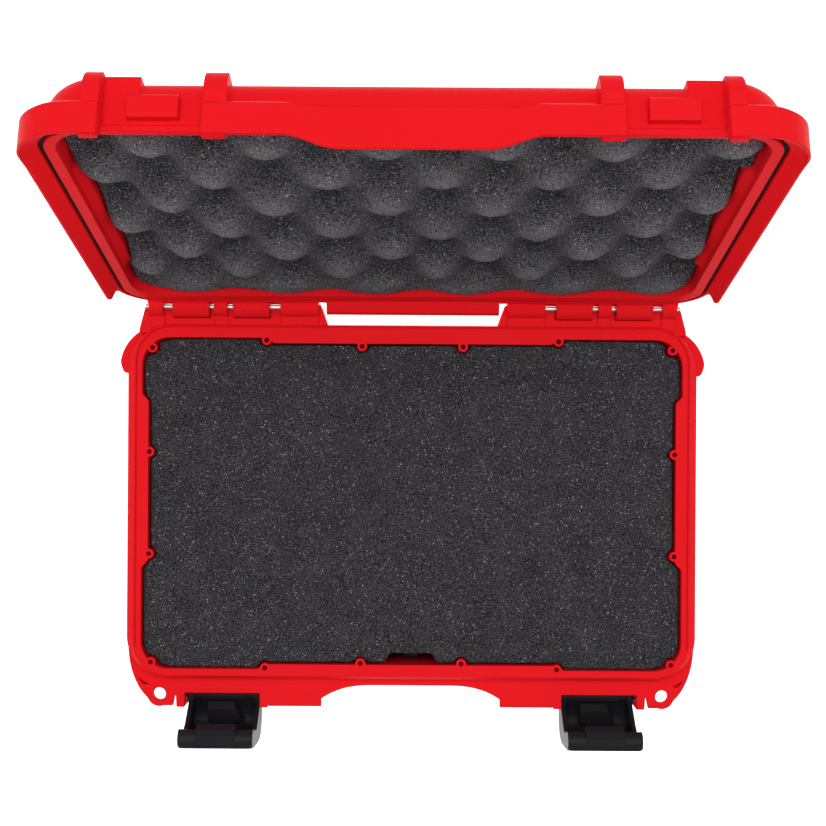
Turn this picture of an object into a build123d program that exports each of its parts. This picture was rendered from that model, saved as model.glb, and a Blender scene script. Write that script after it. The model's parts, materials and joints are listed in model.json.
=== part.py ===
from build123d import *
import math
import os

# Moulded hard case for a hand instrument, modelled with its lid standing open.
# Millimetres. +X right, +Y towards the hinge, +Z up. The origin is the middle of the
# flat underside. Two helper measures are used throughout:
#   depth  - distance forward of the hinge axis, towards the latches
#   height - distance above the sealing plane, which is also the hinge axis's height

# ---------------------------------------------------------------- overall sizes
HINGE_Y = 107.0            # hinge axis behind the origin
RIM_Z = 71.0               # sealing plane above the underside
LID_OPEN_DEG = 105.5       # lid angle from shut to its stop
WALL = 3.5                 # moulded wall
FLOOR = 3.5                # base floor
LID_ROOF = 3.0             # lid roof
FIT = 0.3                  # clearance between parts that lie close
RUN_FIT = 0.05             # radial clearance of a turning pin
SET_FIT = 0.02             # radial clearance of a pin held by its shell

# ---------------------------------------------------------------- cavity, shared by base and lid
CAVITY_HALF = 146.3
CAVITY_BACK = 16.5
CAVITY_FRONT = 195.9
CAVITY_R = 15.0
CAVITY_DRAFT = 3.6         # how much each wall leans in over the base's depth
SIDE_INSET = 3.6           # middle stretch of each side wall stands in
SIDE_INSET_BACK = CAVITY_BACK + 34.5
SIDE_INSET_FRONT = CAVITY_FRONT - 58.4
BACK_INSET = 3.0
BACK_INSET_HALF = CAVITY_HALF - 71.3
FRONT_INSET = 2.7
FRONT_INSET_HALF = CAVITY_HALF - 67.3
INSET_SLOPE = 4.0          # run of the slope at each end of an inset stretch
LID_INSET_FRONT = CAVITY_FRONT - 39.0
LID_INSET_FROM = 3.0       # the lid's walls step in above this height
LID_INSET_FULL = 7.0
LID_SHOULDER = 9.0         # above this the lid's hollow narrows towards its roof
LID_HAUNCH = 8.0

# ---------------------------------------------------------------- base outside
RIM_HALF = CAVITY_HALF + 8.2           # rim band outline
RIM_BACK = CAVITY_BACK - 7.3
RIM_FRONT = CAVITY_FRONT + 5.8
RIM_R = CAVITY_R + 8.0
RIM_SLOPE = 4.0            # from the sealing plane down to the rim band's widest line
RIM_DROP = 8.0             # from the sealing plane down to the front flange
RIM_BAND = 13.0            # rim band's lower edge below the sealing plane
CREST_HALF = CAVITY_HALF + 4.2         # top edge of the sealing bead
CREST_BACK = CAVITY_BACK - 6.6
CREST_FRONT = CAVITY_FRONT + 3.7
CREASE_HALF = CAVITY_HALF + 3.3        # groove between the land and the bead
CREASE_BACK = CAVITY_BACK - 5.6
CREASE_FRONT = CAVITY_FRONT - 12.0     # it runs out before the front corners
CREASE_WIDE = 0.7
CREASE_DEEP = 0.8
FLANGE_FRONT = CAVITY_FRONT + 21.6
FLANGE_THICK = 4.0
FLANGE_CORNER = 34.0
NOTCH_HALF = CAVITY_HALF - 97.4
NOTCH_STEP = 4.1
NOTCH_DEEP = 11.7
NOTCH_FLAT_HALF = NOTCH_HALF - 26.9
EYE_X = CAVITY_HALF - 9.0              # padlock eyes
EYE_DEPTH = FLANGE_FRONT - 6.3
EYE_R = 3.5
EYE_WALL = 3.2
BUMP_HALF = CAVITY_HALF + 12.6         # rear corner bumpers
BUMP_LONG = 26.8
BUMP_TOP = -5.0
BUMP_TALL = 26.0
FOOT_GROOVE = 0.8          # stacking grooves under the base
FOOT_X = CAVITY_HALF - 50.3
FOOT_BACK = CAVITY_BACK + 23.5
FOOT_FRONT = CAVITY_FRONT - 23.9
FOOT_HALF = 4.0
RIB_STEP = 30.5            # between the stiffening ribs on each side
RIB_THICK = 3.0

# ---------------------------------------------------------------- panel screw bosses
BOSS_R = 2.7
BOSS_HOLE_R = 1.3
BOSS_TALL = 24.0
BOSS_HOLE_DEEP = 12.0
CORNER_BOSS = (CAVITY_HALF - 5.5, CAVITY_BACK + 5.7, CAVITY_FRONT - 3.4)   # x, rear depth, front depth
OUTER_BOSS = (CAVITY_HALF - 67.3, CAVITY_BACK + 1.3, CAVITY_FRONT - 0.6)
INNER_BOSS = (CAVITY_HALF - 119.0, CAVITY_BACK + 4.4, CAVITY_FRONT - 3.4)
SIDE_BOSS = (CAVITY_HALF - 4.1, SIDE_INSET_BACK + 27.6, SIDE_INSET_FRONT - 3.7)

# ---------------------------------------------------------------- hinge
PIN_R = 1.5
KNUCKLE_R = 5.0            # base knuckles
LID_KNUCKLE_R = 5.8
HINGE_OUT = CAVITY_HALF - 4.3          # outer face of the outer base knuckle
BASE_KNUCKLES = ((HINGE_OUT - 7.5, HINGE_OUT), (HINGE_OUT - 42.0, HINGE_OUT - 35.0),
                 (HINGE_OUT - 91.0, HINGE_OUT - 70.7))
LID_KNUCKLES = ((HINGE_OUT - 32.3, HINGE_OUT - 12.9), (HINGE_OUT - 64.7, HINGE_OUT - 45.3))
PIN_IN = HINGE_OUT - 82.0              # blind inner end of each pin
PIN_PROUD = 2.0
POCKET = 0.45              # clearance round a lid knuckle
SHELF_BACK = -1.5          # depth of the shelf behind the rim
SHELF_OUT = 6.0            # how far the shelf reaches beyond the outer knuckle
SHELF_LIP = -5.2           # depth of the low lip that runs on behind the pins

# ---------------------------------------------------------------- latches
LATCH_X = CAVITY_HALF - 43.2
LATCH_WIDE = 39.6
BAY_WIDE = 41.2
BAY_BACK = FLANGE_FRONT - 7.0
EAR_THICK = 4.2
EAR_PROUD = 0.8
EAR_DROP = 27.5
SLIT_LONG = 5.4
LATCH_DEPTH = FLANGE_FRONT - 4.0       # pivot
LATCH_HEIGHT = -20.0
LATCH_TILT_DEG = 26.0      # how far each lever leans out at rest
BARREL_HEIGHT = 18.0       # hook barrel's axis when shut
BARREL_R = 4.8
HUB_R = 4.6
HUB_BAR_R = 3.2
HUB_WIDE = 25.0
COVER_THICK = 2.4
LEVER_WALL = 2.3
SLOT_WIDE = 10.0
SLOT_LOW = -17.6
SLOT_HIGH = -11.4
SLIDE_TRAVEL = 4.0
SLIDE_TOP = -13.6          # top of the lock slide's block when shut
PAD_FACE = 21.6            # thumb pad's back, forward of the pivot

# ---------------------------------------------------------------- lid outside
SKIRT_HALF = CAVITY_HALF + 13.9
SKIRT_BACK = CAVITY_BACK - 15.5
SKIRT_FRONT = CAVITY_FRONT + 18.1
SKIRT_R = CAVITY_R + 10.0
SKIRT_EDGE = 1.0           # thickness of the skirt's lower edge
SKIRT_LIP = -4.5
FRONT_LIP = -6.1           # the skirt hangs lower along the front
SKIRT_TOP = 8.4
SKIRT_END = 21.2           # the side skirts stop here, ahead of the hinge
SKIRT_END_RUN = 6.6        # and slope forward up to the rim plane
HINGE_CLEAR = 6.6          # depth of the lid's rear edge beside the hinge knuckles
LIP_DEEP = -12.1           # finger lip
LIP_FLAT_HALF = NOTCH_HALF - 20.9
LID_TOP = 24.2
LID_HALF = CAVITY_HALF + 3.5
LID_BACK = CAVITY_BACK - 8.0
LID_FRONT = CAVITY_FRONT + 10.1
LID_R = CAVITY_R + 15.0
LID_EDGE_R = 13.0
GUARD_FLANK = 10.0         # run of a corner guard's flank down to the lid's front or back
RECESS_FACE = CAVITY_FRONT + 9.1
CATCH_WIDE = 20.4
CATCH_TOP = 13.2
CATCH_LOW = 3.4
CATCH_FACE = RECESS_FACE + 4.4
FIN_FRONT = CAVITY_FRONT + 17.1
FIN_TOP = 26.3
INNER_FIN = 9.3
OUTER_FIN = 7.2
FIN_R = 14.0
FIN_ROUND = 3.4            # rounding of a fin's top edges
GROOVE_IN = CAVITY_HALF + 4.9          # gasket groove
GROOVE_WIDE = 2.2
GROOVE_BACK = CAVITY_BACK - 8.1
GROOVE_FRONT = CAVITY_FRONT + 7.2
GROOVE_R = CAVITY_R + 3.0
GROOVE_DEEP = 3.2
GASKET_FREE = 1.7          # gasket face above the sealing plane
FLARE_TALL = 3.6           # the lid's hollow opens forward below this height, behind the groove

# ---------------------------------------------------------------- foams
FOAM_GAP = 0.7
FOAM_SINK = 2.0            # foam top below the rim
PAD_TALL = 12.0
RELIEF_HALF = 12.0
RELIEF_DEEP = 5.2
LID_FOAM_GAP = 0.8
PEAK_HEIGHT = 2.0          # crests of the lid foam's egg-crate face
VALLEY_HEIGHT = 13.0       # and the bottom of its hollows
PEAK_PITCH = 48.4          # between crests along a row
PEAK_ROW = 25.8            # between rows, each set half a pitch over
PEAK_FIRST_X = -12.6
PEAK_FIRST_ROW = 17.0
PEAK_TIP = 0.2             # a crest's flat top, as a share of the lattice
PEAK_FOOT = 0.96           # and its foot, which leaves a narrow valley to the next

# ---------------------------------------------------------------- pressure valve
VALVE_Z = -31.0
VALVE_R = 8.5
VALVE_FACE = CAVITY_FRONT + 2.7        # depth of the boss face it seats on
VALVE_HEAD = 2.2
VALVE_SEAL = 0.9
VALVE_STEM_R = 4.5
VALVE_BORE_R = 4.7
NUT_ACROSS = 14.0
NUT_THICK = 3.0
VALVE_VENT_R = 1.6

# ---------------------------------------------------------------- handle
HANDLE_X = LATCH_X - 42.1              # middle of each arm
HANDLE_ARM = 9.0
HANDLE_DEPTH = CAVITY_FRONT + 10.1
HANDLE_HEIGHT = -19.5
HANDLE_DROP = 33.0         # pivot down to the grip's axis
HANDLE_THICK = 8.0
GRIP_DEEP = 10.0
GRIP_TALL = 12.0
GRIP_R = 3.4
GRIP_SLEEVE = 1.2
GRIP_SLEEVE_HALF = HANDLE_X - 17.0
LUG_THICK = 4.5
LUG_GAP = 0.5              # between a lug and the arm
HANDLE_PIN_R = 1.75


def fore(depth):
    """Row Y of a depth measured forward of the hinge axis."""
    return HINGE_Y - depth


def plan(half, back, front, radius):
    """Rounded rectangle in plan, from its half width and its rear and front depths."""
    return Pos(0, fore((back + front) / 2)) * RectangleRounded(2 * half, front - back, radius)


def slab(outline, low, high):
    """Prism on a plan outline between two heights above the sealing plane."""
    return extrude(Pos(0, 0, RIM_Z + low) * outline, amount=high - low)


def blend_slab(low_outline, high_outline, low, high):
    """Straight-sided loft between two plan outlines."""
    lower = Pos(0, 0, RIM_Z + low) * low_outline
    upper = Pos(0, 0, RIM_Z + high) * high_outline
    return loft([lower, upper], ruled=True)


def plan_shape(points):
    """Closed straight-sided plan outline from (x, depth) corners."""
    return make_face(Polyline(*[(x, fore(d)) for x, d in points], close=True))


def side_bar(points, x_low, x_high):
    """Prism along X on a side profile given as (depth, height) corners."""
    corners = [(fore(d), RIM_Z + h) for d, h in points]
    face = make_face(Polyline(*corners, close=True))
    return extrude(Plane.YZ.offset(min(x_low, x_high)) * face, amount=abs(x_high - x_low))


def front_bar(points, d_back, d_front):
    """Prism along the depth on a front profile given as (x, height) corners."""
    corners = [(x, RIM_Z + h) for x, h in points]
    face = make_face(Polyline(*corners, close=True))
    upright = Plane(origin=(0, fore(d_back), 0), x_dir=(1, 0, 0), z_dir=(0, -1, 0))
    return extrude(upright * face, amount=d_front - d_back)


def rod(x_low, x_high, radius, depth, height):
    """Round bar along X."""
    low = min(x_low, x_high)
    circle = Plane.YZ.offset(low) * Pos(fore(depth), RIM_Z + height) * Circle(radius)
    return extrude(circle, amount=abs(x_high - x_low))


def post(x, depth, radius, low, high):
    """Round upright bar between two heights."""
    return extrude(Pos(x, fore(depth), RIM_Z + low) * Circle(radius), amount=high - low)


def both(shape):
    """The shape and its mirror image across the middle plane."""
    return [shape, mirror(shape, about=Plane.YZ)]


def box_between(x, depth, height):
    """Upright box from three (low, high) pairs."""
    size = (x[1] - x[0], depth[1] - depth[0], height[1] - height[0])
    middle = ((x[0] + x[1]) / 2, fore((depth[0] + depth[1]) / 2), RIM_Z + (height[0] + height[1]) / 2)
    return Pos(*middle) * Box(*size)


def fused(parts):
    """One solid from a list of touching ones."""
    first, *rest = parts
    return first.fuse(*rest).clean()


# ================================================================ the cavity
def inset_outlines(reach, gap, side_front):
    """Plan outlines of the four stretches where the cavity walls stand in by a share of their full step."""
    slope = INSET_SLOPE
    grow = 6.0
    side_wall = CAVITY_HALF - gap
    side_face = side_wall - reach * SIDE_INSET
    side = plan_shape([
        (side_wall + grow, SIDE_INSET_BACK - slope), (side_wall, SIDE_INSET_BACK - slope),
        (side_face, SIDE_INSET_BACK), (side_face, side_front),
        (side_wall, side_front + slope), (side_wall + grow, side_front + slope)])
    back_wall = CAVITY_BACK + gap
    back_face = back_wall + reach * BACK_INSET
    back = plan_shape([
        (-BACK_INSET_HALF - slope, back_wall - grow), (-BACK_INSET_HALF - slope, back_wall),
        (-BACK_INSET_HALF, back_face), (BACK_INSET_HALF, back_face),
        (BACK_INSET_HALF + slope, back_wall), (BACK_INSET_HALF + slope, back_wall - grow)])
    front_wall = CAVITY_FRONT - gap
    front_face = front_wall - reach * FRONT_INSET
    front = plan_shape([
        (-FRONT_INSET_HALF - slope, front_wall + grow), (-FRONT_INSET_HALF - slope, front_wall),
        (-FRONT_INSET_HALF, front_face), (FRONT_INSET_HALF, front_face),
        (FRONT_INSET_HALF + slope, front_wall), (FRONT_INSET_HALF + slope, front_wall + grow)])
    return [side, mirror(side, about=Plane.YZ), back, front]


def wall_insets(low, high, gap):
    """The stretches where the cavity walls stand in, as solids; the lid's begin with a slope."""
    if low < 0:
        return [slab(outline, low, high) for outline in inset_outlines(1.0, gap, SIDE_INSET_FRONT)]
    full = inset_outlines(1.0, gap, LID_INSET_FRONT)
    start = inset_outlines(0.02, gap, LID_INSET_FRONT)
    pieces = []
    for begin, outline in zip(start, full):
        ramp = blend_slab(begin, outline, LID_INSET_FROM, LID_INSET_FULL)
        pieces.append(ramp + slab(outline, LID_INSET_FULL, high))
    return pieces


def cavity_outline(height, gap):
    """Cavity in plan at a height: its walls lean in away from the rim, and the lid's haunch adds to that."""
    pull = gap + CAVITY_DRAFT * abs(height) / (RIM_Z - FLOOR)
    roof = LID_TOP - LID_ROOF
    if height > LID_SHOULDER:
        pull += LID_HAUNCH * (height - LID_SHOULDER) / (roof - LID_SHOULDER)
    return plan(CAVITY_HALF - pull, CAVITY_BACK + pull, CAVITY_FRONT - pull, CAVITY_R)


def cavity(low, high, gap=0.0):
    """Hollow of the base (low below zero) or lid, drafted, with its stepped walls."""
    levels = [low, high]
    if low < LID_SHOULDER < high:
        levels = [low, LID_SHOULDER, high]
    hollow = None
    for below, above in zip(levels, levels[1:]):
        stage = blend_slab(cavity_outline(below, gap), cavity_outline(above, gap), below, above)
        hollow = stage if hollow is None else hollow + stage
    for inset in wall_insets(low - 1 if low < 0 else low, high + 1, gap):
        hollow = hollow - inset
    return hollow


def boss_places():
    """Centres of the sixteen screw bosses as (x, depth)."""
    places = []
    for half, back, front in (CORNER_BOSS, OUTER_BOSS, INNER_BOSS, SIDE_BOSS):
        places += [(side * half, depth) for side in (-1, 1) for depth in (back, front)]
    return places


# ================================================================ base shell
def flange_outline():
    """Front flange in plan, with its corners swept round to the padlock eyes."""
    corner_back = FLANGE_FRONT - FLANGE_CORNER
    pad_x = EYE_X - EYE_R
    back = Line((0, fore(corner_back)), (RIM_HALF, fore(corner_back)))
    corner = EllipticalCenterArc(
        (pad_x, fore(corner_back)), RIM_HALF - pad_x, FLANGE_CORNER, start_angle=270, arc_size=90)
    front = Polyline((pad_x, fore(FLANGE_FRONT)), (0, fore(FLANGE_FRONT)), (0, fore(corner_back)))
    half = make_face([*back.edges(), *corner.edges(), *front.edges()])
    return half + mirror(half, about=Plane.YZ)


def notch_cut():
    """Finger notch of the front flange: a step at each end, then a shallow arch."""
    step = FLANGE_FRONT - NOTCH_STEP
    deep = FLANGE_FRONT - NOTCH_DEEP
    edge = fore(FLANGE_FRONT + 3)
    right_arch = Spline(
        (NOTCH_HALF, fore(step)), (NOTCH_HALF - 8, fore(step - 4.4)), (NOTCH_FLAT_HALF, fore(deep)),
        tangents=[(-1.0, 0.75), (-1, 0)])
    right = Polyline((0, edge), (NOTCH_HALF, edge), (NOTCH_HALF, fore(step)))
    middle = Line((NOTCH_FLAT_HALF, fore(deep)), (0, fore(deep)))
    close = Line((0, fore(deep)), (0, edge))
    edges = [*right.edges(), *right_arch.edges(), *middle.edges(), *close.edges()]
    half = make_face(edges)
    return half + mirror(half, about=Plane.YZ)


def bumper_outline(reach, back, front):
    """Rear corner bumper in plan on the right, rounded towards its forward tip."""
    inner = CAVITY_HALF - 6.9
    curve = ThreePointArc(
        (inner + 2, fore(back)), (reach - 3.8, fore(back + 9.5)), (reach, fore(front - 7)))
    tip = Spline(
        curve @ 1, (reach - 0.9, fore(front - 2.6)), (reach - 4, fore(front)),
        tangents=[(0, -1), (-1, 0)])
    rest = Polyline(tip @ 1, (inner, fore(front)), (inner, fore(back)), curve @ 0)
    return make_face([*curve.edges(), *tip.edges(), *rest.edges()])


def bumper():
    """Rear corner bumper on the right, tapering into the side wall below."""
    front = RIM_BACK + BUMP_LONG
    upper = bumper_outline(BUMP_HALF, RIM_BACK + 1, front)
    lower = bumper_outline(BUMP_HALF - 5.5, RIM_BACK + 6, front - 3)
    waist = -BUMP_TALL * 0.6
    return [slab(upper, waist, BUMP_TOP), blend_slab(lower, upper, -BUMP_TALL, waist)]


def latch_ears(side):
    """Two plates that carry a latch's pivot pin, below the flange."""
    ears = []
    for x in (-BAY_WIDE / 2 - EAR_THICK, BAY_WIDE / 2):
        low = side * LATCH_X + x
        front = FLANGE_FRONT + EAR_PROUD
        profile = [
            (CAVITY_FRONT - 1, -RIM_DROP), (front, -RIM_DROP), (front, -EAR_DROP + 5),
            (front - 3, -EAR_DROP), (LATCH_DEPTH - 6, -EAR_DROP), (CAVITY_FRONT - 1, -EAR_DROP - 9)]
        ears.append(side_bar(profile, low, low + EAR_THICK))
    return ears


def handle_lugs(side):
    """Two plates that carry one end of the handle, below the flange."""
    lugs = []
    inner = HANDLE_ARM / 2 + LUG_GAP
    nose = HANDLE_DEPTH + 5.2
    for x in (-inner - LUG_THICK, inner):
        low = side * HANDLE_X + x
        profile = [
            (CAVITY_FRONT - 1, -RIM_DROP - 1), (nose, -RIM_DROP - 1), (nose, HANDLE_HEIGHT - 2),
            (nose - 3.2, HANDLE_HEIGHT - 5), (CAVITY_FRONT - 1, HANDLE_HEIGHT - 9)]
        lugs.append(side_bar(profile, low, low + LUG_THICK))
    return lugs


def valve_boss():
    """Flat round pad on the front wall that the pressure valve seats on."""
    return valve_disc(VALVE_R + 1.5, CAVITY_FRONT - 1, VALVE_FACE)


def base_knuckles(side):
    """Hinge knuckles of the base with their webs down to the rear wall."""
    blocks = []
    for x_in, x_out in BASE_KNUCKLES:
        low, high = sorted((side * x_in, side * x_out))
        blocks.append(rod(low, high, KNUCKLE_R, 0, 0))
        web = [(0, -KNUCKLE_R), (-KNUCKLE_R, 0), (0, 0.2), (RIM_BACK + 2, -0.6), (RIM_BACK + 5, -17)]
        blocks.append(side_bar(web, low, high))
    return blocks


def hinge_bed(side):
    """Solid shelf behind the rim that the hinge knuckles stand on."""
    outer = HINGE_OUT + SHELF_OUT
    inner = BASE_KNUCKLES[2][0] - 6.5
    shelf = plan_shape([
        (side * inner, RIM_BACK + 5), (side * (inner + 5.5), SHELF_BACK), (side * (outer - 3.5), SHELF_BACK),
        (side * outer, RIM_BACK + 3), (side * outer, RIM_BACK + 5)])
    block = slab(shelf, -RIM_BAND, -1.0)
    slope = side_bar([(SHELF_BACK - 4.5, -1), (SHELF_BACK - 4.5, -20), (8, -20), (SHELF_BACK, -7)],
                     side * (inner - 1), side * (outer + 1))
    lip = side_bar([(SHELF_BACK + 0.5, -2.1), (SHELF_LIP, -2.6), (SHELF_LIP, -3.4), (SHELF_BACK + 0.5, -7.5)],
                   side * (inner + 6.5), side * (outer - 4.0))
    return (block - slope).fuse(lip)


def base_outside():
    """Everything of the base shell before it is hollowed."""
    bottom = plan(CAVITY_HALF - 0.7, CAVITY_BACK + 0.1, CAVITY_FRONT - 0.4, CAVITY_R + 2)
    top = plan(CAVITY_HALF + WALL, CAVITY_BACK - WALL, CAVITY_FRONT + WALL, CAVITY_R + WALL + 0.5)
    tub = blend_slab(bottom, top, -RIM_Z, -RIM_BAND + 0.5)
    tub = fillet(tub.faces().sort_by(Axis.Z)[0].edges(), 5.0)
    rim = plan(RIM_HALF, RIM_BACK, RIM_FRONT, RIM_R)
    crest = plan(CREST_HALF, CREST_BACK, CREST_FRONT, RIM_R - RIM_HALF + CREST_HALF)
    flange = slab(flange_outline(), -RIM_DROP - FLANGE_THICK, -RIM_DROP)
    parts = [tub, slab(rim, -RIM_BAND, -RIM_SLOPE), blend_slab(rim, crest, -RIM_SLOPE, 0), flange]
    eye_pad = post(EYE_X, EYE_DEPTH, EYE_R + EYE_WALL, -RIM_DROP - FLANGE_THICK, -RIM_DROP)
    parts += both(eye_pad)
    for side in (-1, 1):
        parts += latch_ears(side)
        parts += handle_lugs(side)
        parts.append(hinge_bed(side))
        parts += base_knuckles(side)
    for block in bumper():
        parts += both(block)
    parts.append(valve_boss())
    return fused(parts)


def rib_profile(wall, rim):
    """Upright rib's outline as (distance, height), from the tub's wall out to the rim band."""
    inner = wall - 6.3
    return [(inner, -14), (rim - 0.6, -RIM_BAND + 1), (rim - 0.6, -20), (wall + 3.9, -31), (wall - 0.1, -60),
            (inner, -60)]


def side_ribs():
    """Upright stiffening ribs round the outside of the base."""
    ribs = []
    half = RIB_THICK / 2
    middle = (SIDE_INSET_BACK + SIDE_INSET_FRONT) / 2
    for step in (-1, 0, 1):
        depth = middle + step * RIB_STEP
        ribs += both(front_bar(rib_profile(CAVITY_HALF, RIM_HALF), depth - half, depth + half))
    rear = [(CAVITY_BACK - (reach - CAVITY_HALF), height)
            for reach, height in rib_profile(CAVITY_HALF, CAVITY_HALF + CAVITY_BACK - RIM_BACK)]
    for x in (20.0, 40.0):
        ribs += both(side_bar(rear, x - half, x + half))
    return ribs


def front_cuts(side):
    """Latch bay, ear slit, padlock eye and corner pocket on one side of the front flange."""
    x = side * LATCH_X
    half = BAY_WIDE / 2
    bay = box_between((x - half, x + half), (BAY_BACK, FLANGE_FRONT + 6), (-EAR_DROP - 8, 2))
    near = half + EAR_THICK
    slit_shape = plan_shape([
        (x + side * (near + 0.4), FLANGE_FRONT - SLIT_LONG), (x + side * near, FLANGE_FRONT + 2),
        (x + side * (near + 2.6), FLANGE_FRONT + 2), (x + side * (near + 1.2), FLANGE_FRONT - SLIT_LONG)])
    slit = slab(slit_shape, -EAR_DROP - 8, 2)
    floor = -RIM_DROP - FLANGE_THICK
    eye = post(side * EYE_X, EYE_DEPTH, EYE_R, floor - 1, -RIM_DROP + 1)
    pocket_shape = plan_shape([
        (side * (EYE_X + 5.6), EYE_DEPTH - 5.2), (side * (EYE_X + 9.0), EYE_DEPTH - 5.2),
        (side * (EYE_X + 12.0), EYE_DEPTH - 9.0)])
    pocket = slab(pocket_shape, floor + 1.0, -RIM_DROP + 1)
    return [bay, slit, eye, pocket]


def base_shell():
    """The tub: walls, sealing rim, hinge knuckles, latch ears, bosses, lugs and stacking grooves."""
    shell = base_outside()
    shell = shell.fuse(*side_ribs())
    hollow = cavity(-(RIM_Z - FLOOR), 1.0)
    for x, depth in boss_places():
        boss = post(x, depth, BOSS_R, -BOSS_TALL, 0)
        tip = Pos(x, fore(depth), RIM_Z - BOSS_TALL - 3) * Cone(0.6, BOSS_R, 6)
        hollow = hollow - boss - tip
    shell = shell - hollow
    cuts = []
    for side in (-1, 1):
        cuts += front_cuts(side)
        for x_in, x_out in LID_KNUCKLES:
            cuts.append(rod(side * (x_in - FIT), side * (x_out + FIT), LID_KNUCKLE_R + POCKET, 0, 0))
        cuts.append(rod(side * PIN_IN, side * (HINGE_OUT + SHELF_OUT + 2), PIN_R + SET_FIT, 0, 0))
        ear = BAY_WIDE / 2 + EAR_THICK + 1
        x = side * LATCH_X
        cuts.append(rod(x - ear, x + ear, PIN_R + SET_FIT, LATCH_DEPTH, LATCH_HEIGHT))
        lug = HANDLE_ARM / 2 + LUG_GAP + LUG_THICK + 1
        x = side * HANDLE_X
        cuts.append(rod(x - lug, x + lug, HANDLE_PIN_R + SET_FIT, HANDLE_DEPTH, HANDLE_HEIGHT))
        groove = plan(FOOT_HALF, FOOT_BACK, FOOT_FRONT, FOOT_HALF - 0.1)
        cuts.append(Pos(side * FOOT_X, 0, 0) * slab(groove, -RIM_Z - 1, -RIM_Z + FOOT_GROOVE))
    cuts.append(slab(notch_cut(), -RIM_DROP - FLANGE_THICK - 1, 0.5))
    outer = plan(CREASE_HALF, CREASE_BACK - CREASE_WIDE, CREASE_FRONT + RIM_R, RIM_R - 3.4)
    inner = plan(CREASE_HALF - CREASE_WIDE, CREASE_BACK, CREASE_FRONT + RIM_R, RIM_R - 4.1)
    crease = slab(outer - inner, -CREASE_DEEP, 1)
    past = box_between((-RIM_HALF, RIM_HALF), (CREASE_FRONT, CREASE_FRONT + 2 * RIM_R), (-2, 2))
    cuts.append(crease - past)
    for x, depth in boss_places():
        cuts.append(post(x, depth, BOSS_HOLE_R, -BOSS_HOLE_DEEP, 1))
    cuts.append(valve_disc(VALVE_BORE_R, CAVITY_FRONT - 12, CAVITY_FRONT + 12))
    for cut in cuts:
        shell = shell - cut
    return shell


# ================================================================ lid, modelled shut
def lid_opened(shape):
    """A lid piece turned about the hinge from shut to its stop."""
    hinge = Axis((0, HINGE_Y, RIM_Z), (1, 0, 0))
    return shape.rotate(hinge, -LID_OPEN_DEG)


def fin(x_low, x_high):
    """Latch guard fin with a rounded nose, running back down to the lid's top."""
    nose = FIN_FRONT - FIN_R
    lip = FRONT_LIP - 0.4
    arc = CenterArc((fore(nose), RIM_Z + FIN_TOP - FIN_R), FIN_R, 180, -90)
    rest = Polyline(
        arc @ 1, (fore(nose - 6), RIM_Z + FIN_TOP - 0.6), (fore(nose - 22), RIM_Z + LID_TOP - 2),
        (fore(CAVITY_FRONT - 12), RIM_Z + LID_TOP - 3), (fore(CAVITY_FRONT + 2), RIM_Z + LID_SHOULDER),
        (fore(RECESS_FACE - 1), RIM_Z + 4), (fore(FIN_FRONT - 3.4), RIM_Z + lip),
        (fore(FIN_FRONT), RIM_Z + lip), arc @ 0)
    face = make_face([*arc.edges(), *rest.edges()])
    wide = abs(x_high - x_low)
    bar = extrude(Plane.YZ.offset(min(x_low, x_high)) * face, amount=wide)
    tall = FIN_TOP - LIP_DEEP + FIN_R
    section = Pos((x_low + x_high) / 2, RIM_Z + FIN_TOP - tall / 2) * RectangleRounded(wide, tall, FIN_ROUND)
    upright = Plane(origin=(0, fore(LID_BACK), 0), x_dir=(1, 0, 0), z_dir=(0, -1, 0))
    return bar & extrude(upright * section, amount=SKIRT_FRONT - LID_BACK)


def corner_guard(back, front, lead):
    """Raised bumper on a lid corner, its flanks sloping down to the lid's top."""
    low = SKIRT_TOP - 2
    high = FIN_TOP - 1.2
    block = slab(plan(LID_HALF + 2.5, LID_BACK - 1, LID_FRONT + 2.5, LID_R), low, high)
    block = fillet(block.faces().sort_by(Axis.Z)[-1].edges(), LID_EDGE_R - 3)
    inner = LATCH_X + BAY_WIDE / 2 - 4.5
    foot = inner - GUARD_FLANK
    across = front_bar(
        [(foot, low), (foot, LID_TOP - 0.6), (inner, high), (SKIRT_HALF, high), (SKIRT_HALF, low)], back, front)
    flank = slab(plan_shape([
        (foot, LID_BACK), (foot, LID_FRONT), (inner, LID_FRONT + 3), (SKIRT_HALF, LID_FRONT + 3),
        (SKIRT_HALF, LID_BACK - 3), (inner, LID_BACK - 3)]), low, high)
    ends = [(back, LID_TOP - 0.6), (back + lead, FIN_TOP), (front, FIN_TOP)]
    if lead < 0:
        ends = [(back, FIN_TOP), (front + lead, FIN_TOP), (front, LID_TOP - 0.6)]
    along = side_bar([(back, low), *ends, (front, low)], 0, SKIRT_HALF)
    return block & across & along & flank


def finger_lip():
    """Deeper stretch of the front skirt that hangs into the flange's notch."""
    low = RIM_Z + LIP_DEEP
    high = RIM_Z + FRONT_LIP
    root = NOTCH_HALF + 1.4
    right = Spline((root, high), (root - 7.0, high - 1.9), (LIP_FLAT_HALF, low), tangents=[(-1, -0.15), (-1, 0)])
    sides = Polyline((LIP_FLAT_HALF, low), (0, low), (0, high + 2), (root, high + 2), (root, high))
    thick = 1.5 * SKIRT_EDGE
    upright = Plane(origin=(0, fore(SKIRT_FRONT - thick), 0), x_dir=(1, 0, 0), z_dir=(0, -1, 0))
    half = extrude(upright * make_face([*right.edges(), *sides.edges()]), amount=thick)
    return both(half)


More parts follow.
